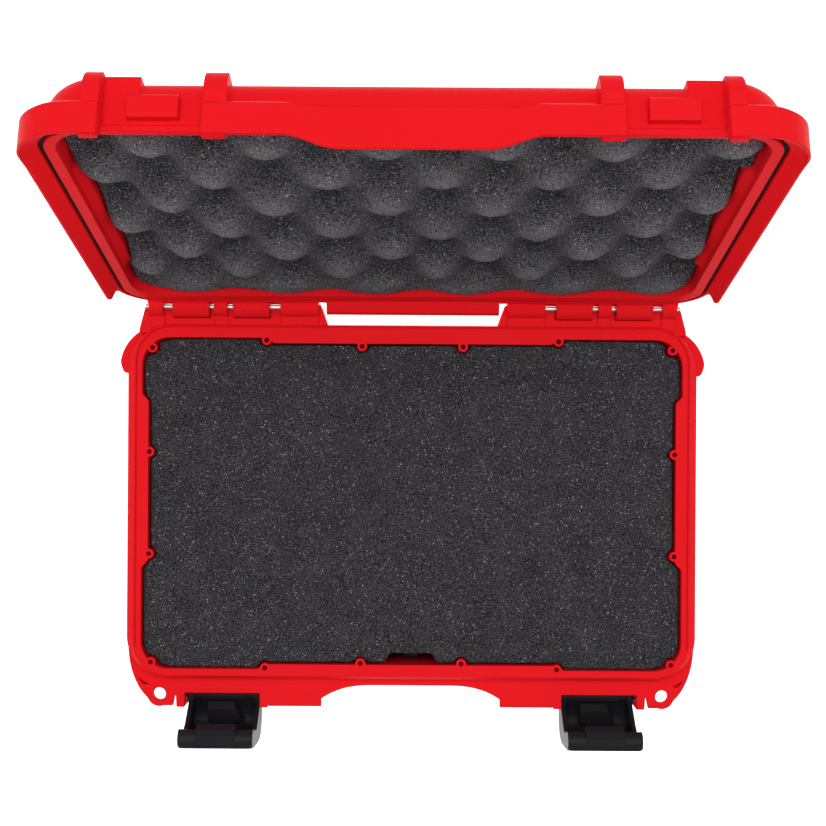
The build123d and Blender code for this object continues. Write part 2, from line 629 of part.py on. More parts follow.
def lid_outside():
    """Skirt, crowned body, corner guards and stacking ribs of the lid."""
    skirt = plan(SKIRT_HALF, SKIRT_BACK, SKIRT_FRONT, SKIRT_R)
    shoulder = plan(SKIRT_HALF - 1.6, SKIRT_BACK + 1.6, SKIRT_FRONT - 1.6, SKIRT_R - 1.6)
    foot = plan(LID_HALF, LID_BACK, LID_FRONT, LID_R)
    crown = plan(LID_HALF - 1.2, LID_BACK + 1.2, LID_FRONT - 1.2, LID_R - 1.2)
    body = blend_slab(foot, crown, SKIRT_TOP - 3, LID_TOP)
    body = fillet(body.faces().sort_by(Axis.Z)[-1].edges(), LID_EDGE_R)
    bevel = SKIRT_TOP - 1.4
    parts = [slab(skirt, FRONT_LIP, bevel), blend_slab(skirt, shoulder, bevel, SKIRT_TOP), body]
    long_guard = CAVITY_DRAFT + 46.4
    parts += both(corner_guard(LID_FRONT - long_guard, LID_FRONT + 3, 16))
    parts += both(corner_guard(LID_BACK - 1, LID_BACK + long_guard - 2, -16))
    rib = slab(plan(FOOT_HALF - 0.4, FOOT_BACK + 0.4, FOOT_FRONT - 0.4, FOOT_HALF - 0.5),
               LID_TOP - 1, LID_TOP + FOOT_GROOVE - 0.1)
    parts += [Pos(side * FOOT_X, 0, 0) * rib for side in (-1, 1)]
    parts += finger_lip()
    return fused(parts)


def lid_knuckles(side):
    """Hinge knuckles of the lid with the arms that join them to its rear edge."""
    blocks = []
    for x_in, x_out in LID_KNUCKLES:
        low, high = sorted((side * x_in, side * x_out))
        blocks.append(rod(low, high, LID_KNUCKLE_R, 0, 0))
        arm = [(0, LID_KNUCKLE_R), (0, 2), (4, FIT + 0.2), (HINGE_CLEAR + 1, FIT), (HINGE_CLEAR + 1, SKIRT_TOP),
               (HINGE_CLEAR - 1, SKIRT_TOP)]
        blocks.append(side_bar(arm, low, high))
    return blocks


def groove_ring(gap):
    """Gasket groove's ring in plan, narrowed by a gap on each side."""
    inset = GROOVE_WIDE - gap
    half = GROOVE_IN + GROOVE_WIDE
    outer = plan(half - gap, GROOVE_BACK + gap, GROOVE_FRONT - gap, GROOVE_R - gap)
    inner = plan(half - inset, GROOVE_BACK + inset, GROOVE_FRONT - inset, GROOVE_R - inset)
    return outer - inner


def skirt_cuts():
    """Inside of the skirt, the room for the base's rim and the ends of the side skirts."""
    deep = LIP_DEEP - 2
    edge = SKIRT_EDGE
    wide = plan(SKIRT_HALF - edge, SKIRT_BACK + WALL, SKIRT_FRONT - 1.5 * edge, SKIRT_R - edge)
    tight = plan(GROOVE_IN + GROOVE_WIDE, GROOVE_BACK, GROOVE_FRONT, GROOVE_R)
    cuts = [slab(wide, deep, SKIRT_LIP), blend_slab(wide, tight, SKIRT_LIP, FIT)]
    out = SKIRT_HALF + 3
    level = side_bar([(-6, deep), (-6, SKIRT_LIP), (SKIRT_FRONT - 36, SKIRT_LIP), (SKIRT_FRONT - 12, FRONT_LIP),
                      (SKIRT_FRONT - 12, deep)], -out, out)
    cuts.append(level)
    rear = HINGE_CLEAR
    half = BASE_KNUCKLES[2][0] - 4.7
    for side in (-1, 1):
        low, high = sorted((side * half, side * out))
        cuts.append(box_between((low, high), (-6, rear), (deep, SKIRT_TOP + 3)))
        cuts.append(side_bar([(-6, deep), (SKIRT_END, deep), (SKIRT_END, SKIRT_LIP),
                              (SKIRT_END + SKIRT_END_RUN, FIT), (-6, FIT)], low, high))
    trim = box_between((HINGE_OUT - 22, out), (-6, SKIRT_END + 1), (LIP_DEEP, SKIRT_TOP + 0.1))
    keep = slab(plan(SKIRT_HALF - 4.2, rear, SKIRT_FRONT, SKIRT_R - 1), LIP_DEEP - 1, SKIRT_TOP + 1)
    return cuts + both(trim - keep)


def lid_cuts():
    """Skirt and cavity, latch recesses, panel, handle dip and gasket groove."""
    cuts = skirt_cuts()
    cuts.append(cavity(0.0, LID_TOP - LID_ROOF))
    flare_front = GROOVE_FRONT - GROOVE_WIDE - 0.7
    flare = plan(CAVITY_HALF, CAVITY_BACK, flare_front, CAVITY_R)
    cuts.append(blend_slab(flare, cavity_outline(FLARE_TALL, 0), 0, FLARE_TALL))
    wide_half = BAY_WIDE / 2 - 0.2
    for side in (-1, 1):
        x = side * LATCH_X
        cuts.append(box_between((x - wide_half, x + wide_half), (RECESS_FACE, SKIRT_FRONT + 6),
                                (LIP_DEEP, FIN_TOP + 20)))
    panel = plan(CAVITY_HALF - 76.3, CAVITY_BACK + 41.5, CAVITY_FRONT - 37.9, 9)
    cuts.append(slab(panel, LID_TOP - 0.6, LID_TOP + 2))
    dip_half = NOTCH_HALF + 4.1
    dip = front_bar([(-dip_half, SKIRT_TOP + 0.1), (-dip_half + 13, SKIRT_TOP - 2.8),
                     (dip_half - 13, SKIRT_TOP - 2.8), (dip_half, SKIRT_TOP + 0.1)], LID_FRONT + 0.1, SKIRT_FRONT + 1)
    cuts.append(dip)
    cuts.append(slab(groove_ring(0), FIT - 0.5, FIT + GROOVE_DEEP))
    return cuts


def lid_catches(side):
    """Catch block and lower lip in one latch recess."""
    x = side * LATCH_X
    root = RECESS_FACE - 1
    catch = [(root, CATCH_LOW), (CATCH_FACE - 0.8, CATCH_LOW), (CATCH_FACE, CATCH_LOW + 1.6),
             (CATCH_FACE, CATCH_TOP - 0.8), (CATCH_FACE - 0.8, CATCH_TOP), (root, CATCH_TOP)]
    back = GROOVE_FRONT + 0.4
    lip = [(back, -1.9), (RECESS_FACE + 1.6, -1.9), (RECESS_FACE + 1.6, 0.6),
           (RECESS_FACE, 1.6), (root, 3), (back, 3)]
    half = BAY_WIDE / 2
    return [side_bar(catch, x - CATCH_WIDE / 2, x + CATCH_WIDE / 2), side_bar(lip, x - half, x + half)]


def lid_shell():
    """The lid shell in its open pose."""
    shell = lid_outside()
    for cut in lid_cuts():
        shell = shell - cut
    added = []
    near = LATCH_X - BAY_WIDE / 2 + 0.2
    far = LATCH_X + BAY_WIDE / 2 - 0.2
    for side in (-1, 1):
        added += lid_knuckles(side)
        added += lid_catches(side)
        added.append(fin(side * near, side * (near - INNER_FIN)))
        added.append(fin(side * far, side * (far + OUTER_FIN)))
    shell = shell.fuse(*added)
    shell = shell - cavity(FIT, LID_TOP - LID_ROOF)
    for side in (-1, 1):
        shell = shell - rod(side * (LID_KNUCKLES[1][0] - 1), side * (LID_KNUCKLES[0][1] + 1), PIN_R + RUN_FIT, 0, 0)
    return lid_opened(shell)


def lid_gasket():
    """Rubber seal lying in the lid's groove."""
    return lid_opened(slab(groove_ring(0.25), GASKET_FREE, FIT + GROOVE_DEEP - 0.05))


def crate_peak(x, depth):
    """One four-sided crest of the egg-crate face, its foot reaching the next crests along both diagonals."""
    def diamond(share):
        wide = share * PEAK_PITCH / 2
        long = share * PEAK_ROW
        return plan_shape([(x - wide, depth), (x, depth - long), (x + wide, depth), (x, depth + long)])
    return blend_slab(diamond(PEAK_TIP), diamond(PEAK_FOOT), PEAK_HEIGHT, VALLEY_HEIGHT)


def lid_foam():
    """Foam pad that fills the lid's hollow, with its egg-crate face towards the base."""
    roof = LID_TOP - LID_ROOF - FIT
    blank = plan(CAVITY_HALF + PEAK_PITCH, CAVITY_BACK - PEAK_ROW, CAVITY_FRONT + PEAK_ROW, CAVITY_R)
    crests = []
    rows = math.ceil((CAVITY_FRONT - PEAK_FIRST_ROW) / PEAK_ROW)
    across = math.ceil(CAVITY_HALF / PEAK_PITCH)
    for row in range(rows):
        shift = PEAK_FIRST_X + (row % 2) * PEAK_PITCH / 2
        for step in range(-across, across + 1):
            x = shift + step * PEAK_PITCH
            if abs(x) < CAVITY_HALF + PEAK_PITCH / 4:
                crests.append(crate_peak(x, PEAK_FIRST_ROW + row * PEAK_ROW))
    pad = slab(blank, VALLEY_HEIGHT - 0.4, roof).fuse(*crests)
    return lid_opened(pad & cavity(PEAK_HEIGHT, roof, LID_FOAM_GAP))


# ================================================================ foams and valve in the base
def base_foam():
    """Foam block, cut round the screw bosses and relieved for the valve's nut."""
    low = -(RIM_Z - FLOOR) + PAD_TALL + FIT
    block = cavity(low, -FOAM_SINK, FOAM_GAP)
    for x, depth in boss_places():
        block = block - post(x, depth, BOSS_R + 0.7, -BOSS_TALL - 7, 0)
    face = CAVITY_FRONT - FRONT_INSET - FOAM_GAP
    relief = plan_shape([(-RELIEF_HALF - 2, face + 2), (-RELIEF_HALF, face - RELIEF_DEEP),
                         (RELIEF_HALF, face - RELIEF_DEEP), (RELIEF_HALF + 2, face + 2)])
    return block - slab(relief, low - 1, 0)


def base_foam_pad():
    """Thin foam pad on the floor of the base."""
    low = -(RIM_Z - FLOOR) + FIT
    return cavity(low, low + PAD_TALL - FIT, FOAM_GAP)


def valve_disc(radius, depth_back, depth_front):
    """Round disc on the valve's axis between two depths."""
    length = depth_front - depth_back
    middle = (depth_back + depth_front) / 2
    return Pos(0, fore(middle), RIM_Z + VALVE_Z) * Rot(90, 0, 0) * Cylinder(radius, length)


def valve_parts():
    """Pressure valve: knurled body, face seal, membrane and the nut inside the wall."""
    seat = VALVE_FACE + VALVE_SEAL
    lean = CAVITY_DRAFT / (RIM_Z - FLOOR)
    nut_face = CAVITY_FRONT - max(FRONT_INSET, lean * (NUT_ACROSS / 2 + 1 - VALVE_Z)) - 0.05
    inner_end = nut_face - NUT_THICK - 0.6
    body = valve_disc(VALVE_R, seat, seat + VALVE_HEAD) + valve_disc(VALVE_STEM_R, inner_end, seat)
    for index in range(12):
        angle = math.radians(30 * index)
        x = VALVE_R * math.sin(angle)
        z = VALVE_R * math.cos(angle)
        body = body - Pos(x, 0, z) * valve_disc(0.9, seat + 0.8, seat + VALVE_HEAD + 1)
    body = body - valve_disc(VALVE_STEM_R - 1.4, inner_end - 1, VALVE_FACE)
    body = body - valve_disc(VALVE_VENT_R, inner_end, seat + VALVE_HEAD + 1)
    seal = valve_disc(VALVE_STEM_R + 2.6, VALVE_FACE, seat) - valve_disc(VALVE_STEM_R + 0.1, VALVE_FACE - 1, seat + 1)
    membrane = valve_disc(VALVE_STEM_R - 1.45, VALVE_FACE - 0.5, VALVE_FACE)
    hexagon = RegularPolygon(NUT_ACROSS / 2, 6, major_radius=False) - Circle(VALVE_STEM_R + 0.02)
    upright = Plane(origin=(0, fore(nut_face - NUT_THICK), RIM_Z + VALVE_Z), x_dir=(1, 0, 0), z_dir=(0, -1, 0))
    nut = extrude(upright * hexagon, amount=NUT_THICK)
    return {"valve_body": body, "valve_seal": seal, "valve_membrane": membrane, "valve_nut": nut}


# ================================================================ latches, modelled shut at x = 0
def latch_placed(shape, side):
    """A latch piece leaned out to its rest angle and moved to its bay."""
    pivot = Axis((0, fore(LATCH_DEPTH), RIM_Z + LATCH_HEIGHT), (1, 0, 0))
    return Pos(side * LATCH_X, 0, 0) * shape.rotate(pivot, LATCH_TILT_DEG)


def latch_at(points):
    """(depth, height) places from points given as (forward of the pivot, above it)."""
    return [(LATCH_DEPTH + out, LATCH_HEIGHT + up) for out, up in points]


def latch_curve(points):
    """Smooth side-view curve through places given from the pivot."""
    return Spline(*[(fore(depth), RIM_Z + height) for depth, height in latch_at(points)])


def latch_cover():
    """The lever's outer shell: a band bowed out towards its lower end, its upper corners rounded."""
    lift = BARREL_HEIGHT - LATCH_HEIGHT
    outer = latch_curve([(2.5, lift + 5.2), (7.1, lift - 1.8), (14.2, 24.8), (20.2, 13.2), (21.1, 5.6), (17.2, -0.4),
                         (7.5, -3.6)])
    inner = latch_curve([(7.7, -1.2), (15.9, 1.8), (18.7, 6.0), (17.9, 12.5), (12.1, 23.6), (5.1, lift - 3.2),
                         (1.0, lift + 3.2)])
    face = make_face([*outer.edges(), *Line(outer @ 1, inner @ 0).edges(), *inner.edges(),
                      *Line(inner @ 1, outer @ 0).edges()])
    half = LATCH_WIDE / 2
    cover = extrude(Plane.YZ.offset(-half) * face, amount=LATCH_WIDE)
    low = LATCH_HEIGHT - 20
    high = BARREL_HEIGHT + BARREL_R + 0.5
    front = Pos(0, (low + high) / 2) * RectangleRounded(LATCH_WIDE, high - low, 3.5)
    upright = Plane(origin=(0, fore(LATCH_DEPTH), RIM_Z), x_dir=(1, 0, 0), z_dir=(0, -1, 0))
    return cover & extrude(upright * front, amount=40)


def latch_lever():
    """Latch lever: bowed cover, scalloped side walls, pivot hub, hook barrel and hook."""
    half = LATCH_WIDE / 2
    lift = BARREL_HEIGHT - LATCH_HEIGHT
    wall = latch_at([
        (0.0, -HUB_R), (8.0, -3.0), (16.6, 0.6), (19.9, 6.0), (19.0, 12.6), (13.2, 24.2), (6.0, lift - 2.6),
        (2.6, lift + 2.6), (-1.0, lift + 4.0), (-1.0, lift - 5.0), (2.4, 27.6), (5.6, 24.6), (5.6, 18.0), (4.0, 9.0),
        (3.4, 4.4), (0.0, HUB_R)])
    parts = [latch_cover()]
    for side in (-1, 1):
        x = side * half
        parts.append(side_bar(wall, x, x - side * LEVER_WALL))
        parts.append(rod(x, x - side * (LEVER_WALL + 1.0), HUB_R, LATCH_DEPTH, LATCH_HEIGHT))
    parts.append(rod(-half, half, BARREL_R, LATCH_DEPTH, BARREL_HEIGHT))
    parts.append(rod(-half, half, HUB_BAR_R - 0.4, LATCH_DEPTH, LATCH_HEIGHT))
    parts.append(rod(-HUB_WIDE / 2, HUB_WIDE / 2, HUB_BAR_R, LATCH_DEPTH, LATCH_HEIGHT))
    web = latch_at([(0.7, -1.9), (8.6, -3.5), (8.6, -1.0), (0.7, -0.5)])
    web_half = half - LEVER_WALL - FIT
    parts.append(side_bar(web, -web_half, web_half))
    under = CATCH_TOP + FIT + 0.1
    tip = CATCH_FACE - 2.1
    hook = [(tip, under), (tip, under + 4.8), (tip + 2.2, BARREL_HEIGHT + BARREL_R - 0.6),
            (LATCH_DEPTH, BARREL_HEIGHT + BARREL_R + 0.4), (LATCH_DEPTH, BARREL_HEIGHT), (LATCH_DEPTH - 2, under)]
    parts.append(side_bar(hook, -CATCH_WIDE / 2, CATCH_WIDE / 2))
    lever = fused(parts)
    slot = box_between((-SLOT_WIDE / 2, SLOT_WIDE / 2 + SLIDE_TRAVEL), (LATCH_DEPTH + 14, LATCH_DEPTH + 24),
                       (SLOT_LOW - FIT, SLOT_HIGH + FIT))
    return lever - slot - rod(-half - 1, half + 1, PIN_R + RUN_FIT, LATCH_DEPTH, LATCH_HEIGHT)


def lock_slide():
    """Lock slide: a tapered block inside the lever joined through its slot to a ribbed thumb pad."""
    def reach(out):
        return fore(LATCH_DEPTH + out)

    front = ThreePointArc((9.6, reach(13.6)), (0.4, reach(15.9)), (-9.3, reach(13.6)))
    sides = Polyline(front @ 1, (-9.1, reach(3.0)), (5.2, reach(3.0)), (9.3, reach(11.6)), front @ 0)
    block = slab(make_face([*front.edges(), *sides.edges()]), SLIDE_TOP - 4.4, SLIDE_TOP)
    trimmed = side_bar(latch_at([(3.2, 2.0), (5.3, 6.6), (17.0, 6.6), (17.0, 4.4), (10.5, 2.6)]), -12, 12)
    neck = box_between((-SLOT_WIDE / 2 + FIT, SLOT_WIDE / 2 - FIT), (LATCH_DEPTH + 14.5, LATCH_DEPTH + PAD_FACE + 0.5),
                       (SLOT_LOW + 2.4, SLIDE_TOP))
    pad_half = SLOT_WIDE / 2 + SLIDE_TRAVEL + 1
    pad = box_between((-pad_half, pad_half), (LATCH_DEPTH + PAD_FACE, LATCH_DEPTH + PAD_FACE + 1.5),
                      (SLOT_LOW, SLOT_HIGH + 2))
    pad = fillet(pad.edges().filter_by(Axis.Y), 1.6)
    ribs = []
    for step in (-4.4, 0.0, 4.4):
        ribs.append(box_between((step - 0.7, step + 0.7), (LATCH_DEPTH + PAD_FACE + 1.2, LATCH_DEPTH + PAD_FACE + 2.1),
                                (SLOT_LOW + 1, SLOT_HIGH + 1)))
    return fused([block & trimmed, neck, pad, *ribs])


def latch_pin():
    """Steel pivot pin through both ears and the lever."""
    reach = BAY_WIDE / 2 + EAR_THICK - 0.3
    return rod(-reach, reach, PIN_R, LATCH_DEPTH, LATCH_HEIGHT)


# ================================================================ handle
def handle_bar(grow, half):
    """Rounded bar along X on the grip's axis."""
    height = HANDLE_HEIGHT - HANDLE_DROP
    section = RectangleRounded(GRIP_DEEP + 2 * grow, GRIP_TALL + 2 * grow, GRIP_R + grow)
    placed = Plane.YZ.offset(-half) * Pos(fore(HANDLE_DEPTH), RIM_Z + height) * section
    return extrude(placed, amount=2 * half)


def handle_frame():
    """Folding carry handle: two arms on their pivots and the bar between them."""
    half_arm = HANDLE_ARM / 2
    grip_height = HANDLE_HEIGHT - HANDLE_DROP
    parts = [handle_bar(0, HANDLE_X + half_arm)]
    for side in (-1, 1):
        x = side * HANDLE_X
        parts.append(rod(x - half_arm, x + half_arm, HANDLE_THICK / 2 + 0.8, HANDLE_DEPTH, HANDLE_HEIGHT))
        parts.append(box_between((x - half_arm, x + half_arm),
                                 (HANDLE_DEPTH - HANDLE_THICK / 2, HANDLE_DEPTH + HANDLE_THICK / 2),
                                 (grip_height, HANDLE_HEIGHT)))
    frame = fused(parts)
    for side in (-1, 1):
        x = side * HANDLE_X
        frame = frame - rod(x - half_arm - 1, x + half_arm + 1, HANDLE_PIN_R + RUN_FIT, HANDLE_DEPTH, HANDLE_HEIGHT)
    return frame


def handle_grip():
    """Soft sleeve moulded round the handle's bar."""
    return handle_bar(GRIP_SLEEVE, GRIP_SLEEVE_HALF) - handle_bar(0, GRIP_SLEEVE_HALF + 2)


def handle_pin(side):
    """Pin through one pair of lugs and the handle's arm."""
    reach = HANDLE_ARM / 2 + LUG_GAP + LUG_THICK - 0.3
    x = side * HANDLE_X
    return rod(x - reach, x + reach, HANDLE_PIN_R, HANDLE_DEPTH, HANDLE_HEIGHT)


def hinge_pin(side):
    """Steel hinge pin, blind at its inner end and proud of the outer knuckle."""
    return rod(side * (PIN_IN + 0.3), side * (HINGE_OUT + PIN_PROUD), PIN_R, 0, 0)


# ================================================================ everything
def all_pieces():
    """Node name to solid for the whole case."""
    pieces = {
        "base_shell": base_shell(),
        "base_foam": base_foam(),
        "base_foam_pad": base_foam_pad(),
        "lid_shell": lid_shell(),
        "lid_gasket": lid_gasket(),
        "lid_foam": lid_foam(),
        "handle_frame": handle_frame(),
        "handle_grip": handle_grip(),
        **valve_parts(),
    }
    for name, side in (("left", -1), ("right", 1)):
        pieces["hinge_pin_" + name] = hinge_pin(side)
        pieces["handle_pin_" + name] = handle_pin(side)
        pieces["latch_lever_" + name] = latch_placed(latch_lever(), side)
        pieces["lock_slide_" + name] = latch_placed(lock_slide(), side)
        pieces["latch_pin_" + name] = latch_placed(latch_pin(), side)
    return pieces


if __name__ == "__main__":
    os.makedirs("parts", exist_ok=True)
    for node, solid in all_pieces().items():
        solid.label = node
        export_step(solid, os.path.join("parts", node + ".step"))
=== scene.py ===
"""Looks of an open carry case for an otoscope: moulded red shells, cut foam, latches, hinges and handle.

Every length is in metres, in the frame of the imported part: +X right, +Y towards the hinge, +Z up.
"""
from __future__ import annotations

import json
import logging
import math
from dataclasses import dataclass, field
from enum import Enum
from typing import Any

import bmesh
import bpy
import numpy as np
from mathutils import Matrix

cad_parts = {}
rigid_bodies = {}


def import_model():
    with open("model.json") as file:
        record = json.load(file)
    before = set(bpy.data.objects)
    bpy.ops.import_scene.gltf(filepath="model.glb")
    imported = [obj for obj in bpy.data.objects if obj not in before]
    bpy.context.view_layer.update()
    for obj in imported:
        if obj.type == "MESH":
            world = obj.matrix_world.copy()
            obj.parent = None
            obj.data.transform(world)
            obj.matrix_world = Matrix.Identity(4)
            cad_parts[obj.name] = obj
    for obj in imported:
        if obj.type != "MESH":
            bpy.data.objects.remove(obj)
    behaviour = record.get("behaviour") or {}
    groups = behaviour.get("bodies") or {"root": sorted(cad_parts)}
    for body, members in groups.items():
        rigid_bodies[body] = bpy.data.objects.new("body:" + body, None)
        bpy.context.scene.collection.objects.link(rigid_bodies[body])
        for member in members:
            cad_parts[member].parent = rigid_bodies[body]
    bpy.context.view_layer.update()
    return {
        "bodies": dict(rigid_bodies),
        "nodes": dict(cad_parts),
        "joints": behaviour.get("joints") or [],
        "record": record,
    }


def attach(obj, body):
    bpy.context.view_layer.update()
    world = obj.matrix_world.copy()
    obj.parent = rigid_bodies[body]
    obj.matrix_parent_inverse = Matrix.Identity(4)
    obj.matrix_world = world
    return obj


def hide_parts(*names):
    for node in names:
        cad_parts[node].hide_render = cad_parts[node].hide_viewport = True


LOG = logging.getLogger("carry_case")
MM = 0.001
# point attribute of the egg-crate foam that carries its painted light and shade: 1 on a crest, 0 in a hollow
PAINTED_SHADE_ATTRIBUTE = "relief"
RIPPLE_WAVES = 9
RIPPLE_SPREAD = (0.7, 1.5)
Colour = tuple[float, float, float, float]


# ------------------------------------------------------------------------------------------------ shader tools
class Shade:
    """A node socket that can be used in arithmetic; each operator adds one Math node."""

    def __init__(self, tree: "ShadeTree", socket: bpy.types.NodeSocket) -> None:
        """Keeps the socket and the tree it belongs to.

        Args:
            tree: The tree that new Math nodes go into.
            socket: The output socket that is wrapped.
        """
        self.tree = tree
        self.socket = socket

    def _math(self, operation: str, first: Any, second: Any) -> "Shade":
        """One Math node between two values or sockets."""
        return self.tree.add("ShaderNodeMath", {"operation": operation}, {0: first, 1: second})

    def __add__(self, other: Any) -> "Shade":
        """Sum."""
        return self._math("ADD", self, other)

    def __radd__(self, other: Any) -> "Shade":
        """Sum with the number first."""
        return self._math("ADD", other, self)

    def __sub__(self, other: Any) -> "Shade":
        """Difference."""
        return self._math("SUBTRACT", self, other)

    def __rsub__(self, other: Any) -> "Shade":
        """Difference with the number first."""
        return self._math("SUBTRACT", other, self)

    def __mul__(self, other: Any) -> "Shade":
        """Product."""
        return self._math("MULTIPLY", self, other)

    def __pow__(self, other: Any) -> "Shade":
        """Power."""
        return self._math("POWER", self, other)

    def ramp(self, low: float, high: float) -> "Shade":
        """Rises from 0 at low to 1 at high and is held between the two.

        Args:
            low: Value that gives 0.
            high: Value that gives 1.

        Returns:
            The clamped ramp.
        """
        settings = {"clamp": True, "interpolation_type": "SMOOTHSTEP"}
        return self.tree.add("ShaderNodeMapRange", settings, {"Value": self, "From Min": low, "From Max": high})


class ShadeTree:
    """The node tree of one material, with its Principled shader at the end."""

    def __init__(self, name: str) -> None:
        """Makes the material.

        Args:
            name: Name of the material.
        """
        self.material = bpy.data.materials.new(name)
        self.material.use_nodes = True
        self.nodes = self.material.node_tree.nodes
        self.links = self.material.node_tree.links
        self.shader = self.nodes["Principled BSDF"]
        self._place: Shade | None = None

    def feed(self, node: bpy.types.Node, inputs: dict[Any, Any]) -> None:
        """Sets or links the sockets of a node.

        Args:
            node: The node whose sockets are fed.
            inputs: Socket name or number to a value or a wrapped socket.
        """
        for key, value in inputs.items():
            if isinstance(value, Shade):
                self.links.new(value.socket, node.inputs[key])
            else:
                node.inputs[key].default_value = value

    def add(self, kind: str, settings: dict[str, Any], inputs: dict[Any, Any], output: Any = 0) -> Shade:
        """Adds one node.

        Args:
            kind: Blender's type name of the node.
            settings: Properties that are set before the sockets.
            inputs: Socket name or number to a value or a wrapped socket.
            output: Name or number of the socket that is returned.

        Returns:
            The wrapped output socket.
        """
        node = self.nodes.new(kind)
        for key, value in settings.items():
            setattr(node, key, value)
        self.feed(node, inputs)
        return Shade(self, node.outputs[output])

    @property
    def place(self) -> Shade:
        """Object coordinates, in metres.

        Returns:
            The wrapped vector, made when it is first asked for.
        """
        if self._place is None:
            self._place = self.add("ShaderNodeTexCoord", {}, {}, "Object")
        return self._place

    def noise(self, size: float, detail: float = 2.0, roughness: float = 0.5) -> Shade:
        """Noise whose features are about size metres wide.

        Args:
            size: Width of one feature.
            detail: Octaves.
            roughness: Weight of the finer octaves.

        Returns:
            The noise factor, from 0 to 1.
        """
        inputs = {"Vector": self.place, "Scale": 1 / size, "Detail": detail, "Roughness": roughness}
        return self.add("ShaderNodeTexNoise", {}, inputs)

    def cells(self, size: float) -> Shade:
        """Distance to the nearest cell centre, for cells about size metres wide.

        Args:
            size: Width of one cell.

        Returns:
            The distance, from 0 at a centre to about 1.
        """
        return self.add("ShaderNodeTexVoronoi", {}, {"Vector": self.place, "Scale": 1 / size}, "Distance")

    def blend(self, factor: Any, first: Any, second: Any) -> Shade:
        """Mix of two colours.

        Args:
            factor: 0 for the first colour, 1 for the second.
            first: Colour or wrapped socket.
            second: Colour or wrapped socket.

        Returns:
            The mixed colour.
        """
        return self.add("ShaderNodeMix", {"data_type": "RGBA"}, {0: factor, 6: first, 7: second}, 2)

    def bump(self, height: Shade, depth: float, normal: Shade | None = None) -> Shade:
        """Bump from a height that goes from 0 to 1.

        Args:
            height: The height.
            depth: Real depth of the relief in metres.
            normal: Normal that the bump starts from.

        Returns:
            The bumped normal.
        """
        inputs: dict[Any, Any] = {"Height": height, "Distance": depth, "Strength": 1.0}
        if normal is not None:
            inputs["Normal"] = normal
        return self.add("ShaderNodeBump", {}, inputs)

    def soft_edges(self, radius: float) -> Shade:
        """Normal that turns round an edge as if it had that radius."""
        return self.add("ShaderNodeBevel", {"samples": 6}, {"Radius": radius})


def linear(red: int, green: int, blue: int) -> Colour:
    """Colour given in screen values from 0 to 255, as linear light.

    Args:
        red: Red.
        green: Green.
        blue: Blue.

    Returns:
        Linear colour with an alpha of 1.
    """
    screen = np.array([red, green, blue]) / 255
    light = np.where(screen <= 0.04045, screen / 12.92, ((screen + 0.055) / 1.055) ** 2.4)
    return (*[float(value) for value in light], 1.0)


# ------------------------------------------------------------------------------------------------ finishes
@dataclass(frozen=True)
class MouldedShell:
    """Satin moulded plastic with a fine sparked grain, faint flow marks and burnished edges."""

    name: str
    colour: Colour
    worn: Colour
    roughness: float = 0.36
    grain: float = 0.55 * MM
    grain_deep: float = 0.010 * MM
    edge_radius: float = 0.7 * MM
    gloss: float = 0.012
    flow: float = 60 * MM
    flow_band: tuple[float, float] = (0.35, 0.7)
    flow_tint: float = 0.25
    flow_rough: float = 0.08
    scuff: float = 9 * MM
    scuff_band: tuple[float, float] = (0.62, 0.75)
    scuff_rough: float = 0.06
    grain_rough: float = 0.10
    refraction: float = 1.49

    def make(self) -> bpy.types.Material:
        """The material.

        Returns:
            Plastic whose grain, flow marks and edges vary over the surface.
        """
        tree = ShadeTree(self.name)
        flow = tree.noise(self.flow, 3.0)
        grain = tree.noise(self.grain, 3.0, 0.6)
        scuffs = tree.noise(self.scuff, 5.0, 0.7).ramp(*self.scuff_band)
        colour = tree.blend(flow.ramp(*self.flow_band) * self.flow_tint, self.colour, self.worn)
        rough = self.roughness + (flow - 0.5) * self.flow_rough + scuffs * self.scuff_rough
        rough = rough + (grain - 0.5) * self.grain_rough
        normal = tree.bump(grain, self.grain_deep, tree.soft_edges(self.edge_radius))
        tree.feed(tree.shader, {"Base Color": colour, "Roughness": rough, "Normal": normal})
        tree.feed(tree.shader, {"IOR": self.refraction, "Specular IOR Level": self.gloss})
        return tree.material


@dataclass(frozen=True)
class Rubber:
    """Matt black rubber with a fine bloom."""

    name: str
    colour: Colour
    bloom: Colour
    patch: float = 4 * MM
    patch_band: tuple[float, float] = (0.4, 0.8)
    patch_tint: float = 0.6
    roughness: float = 0.62
    patch_rough: float = 0.2
    grain: float = 0.4 * MM
    grain_deep: float = 0.012 * MM
    gloss: float = 0.05

    def make(self) -> bpy.types.Material:
        """The material.

        Returns:
            Rubber that is lighter and rougher in patches of bloom.
        """
        tree = ShadeTree(self.name)
        bloom = tree.noise(self.patch, 4.0, 0.6)
        grain = tree.noise(self.grain, 2.0)
        colour = tree.blend(bloom.ramp(*self.patch_band) * self.patch_tint, self.colour, self.bloom)
        rough = self.roughness + (bloom - 0.5) * self.patch_rough
        normal = tree.bump(grain, self.grain_deep)
        tree.feed(tree.shader, {"Base Color": colour, "Roughness": rough, "Normal": normal})
        tree.feed(tree.shader, {"Specular IOR Level": self.gloss})
        return tree.material


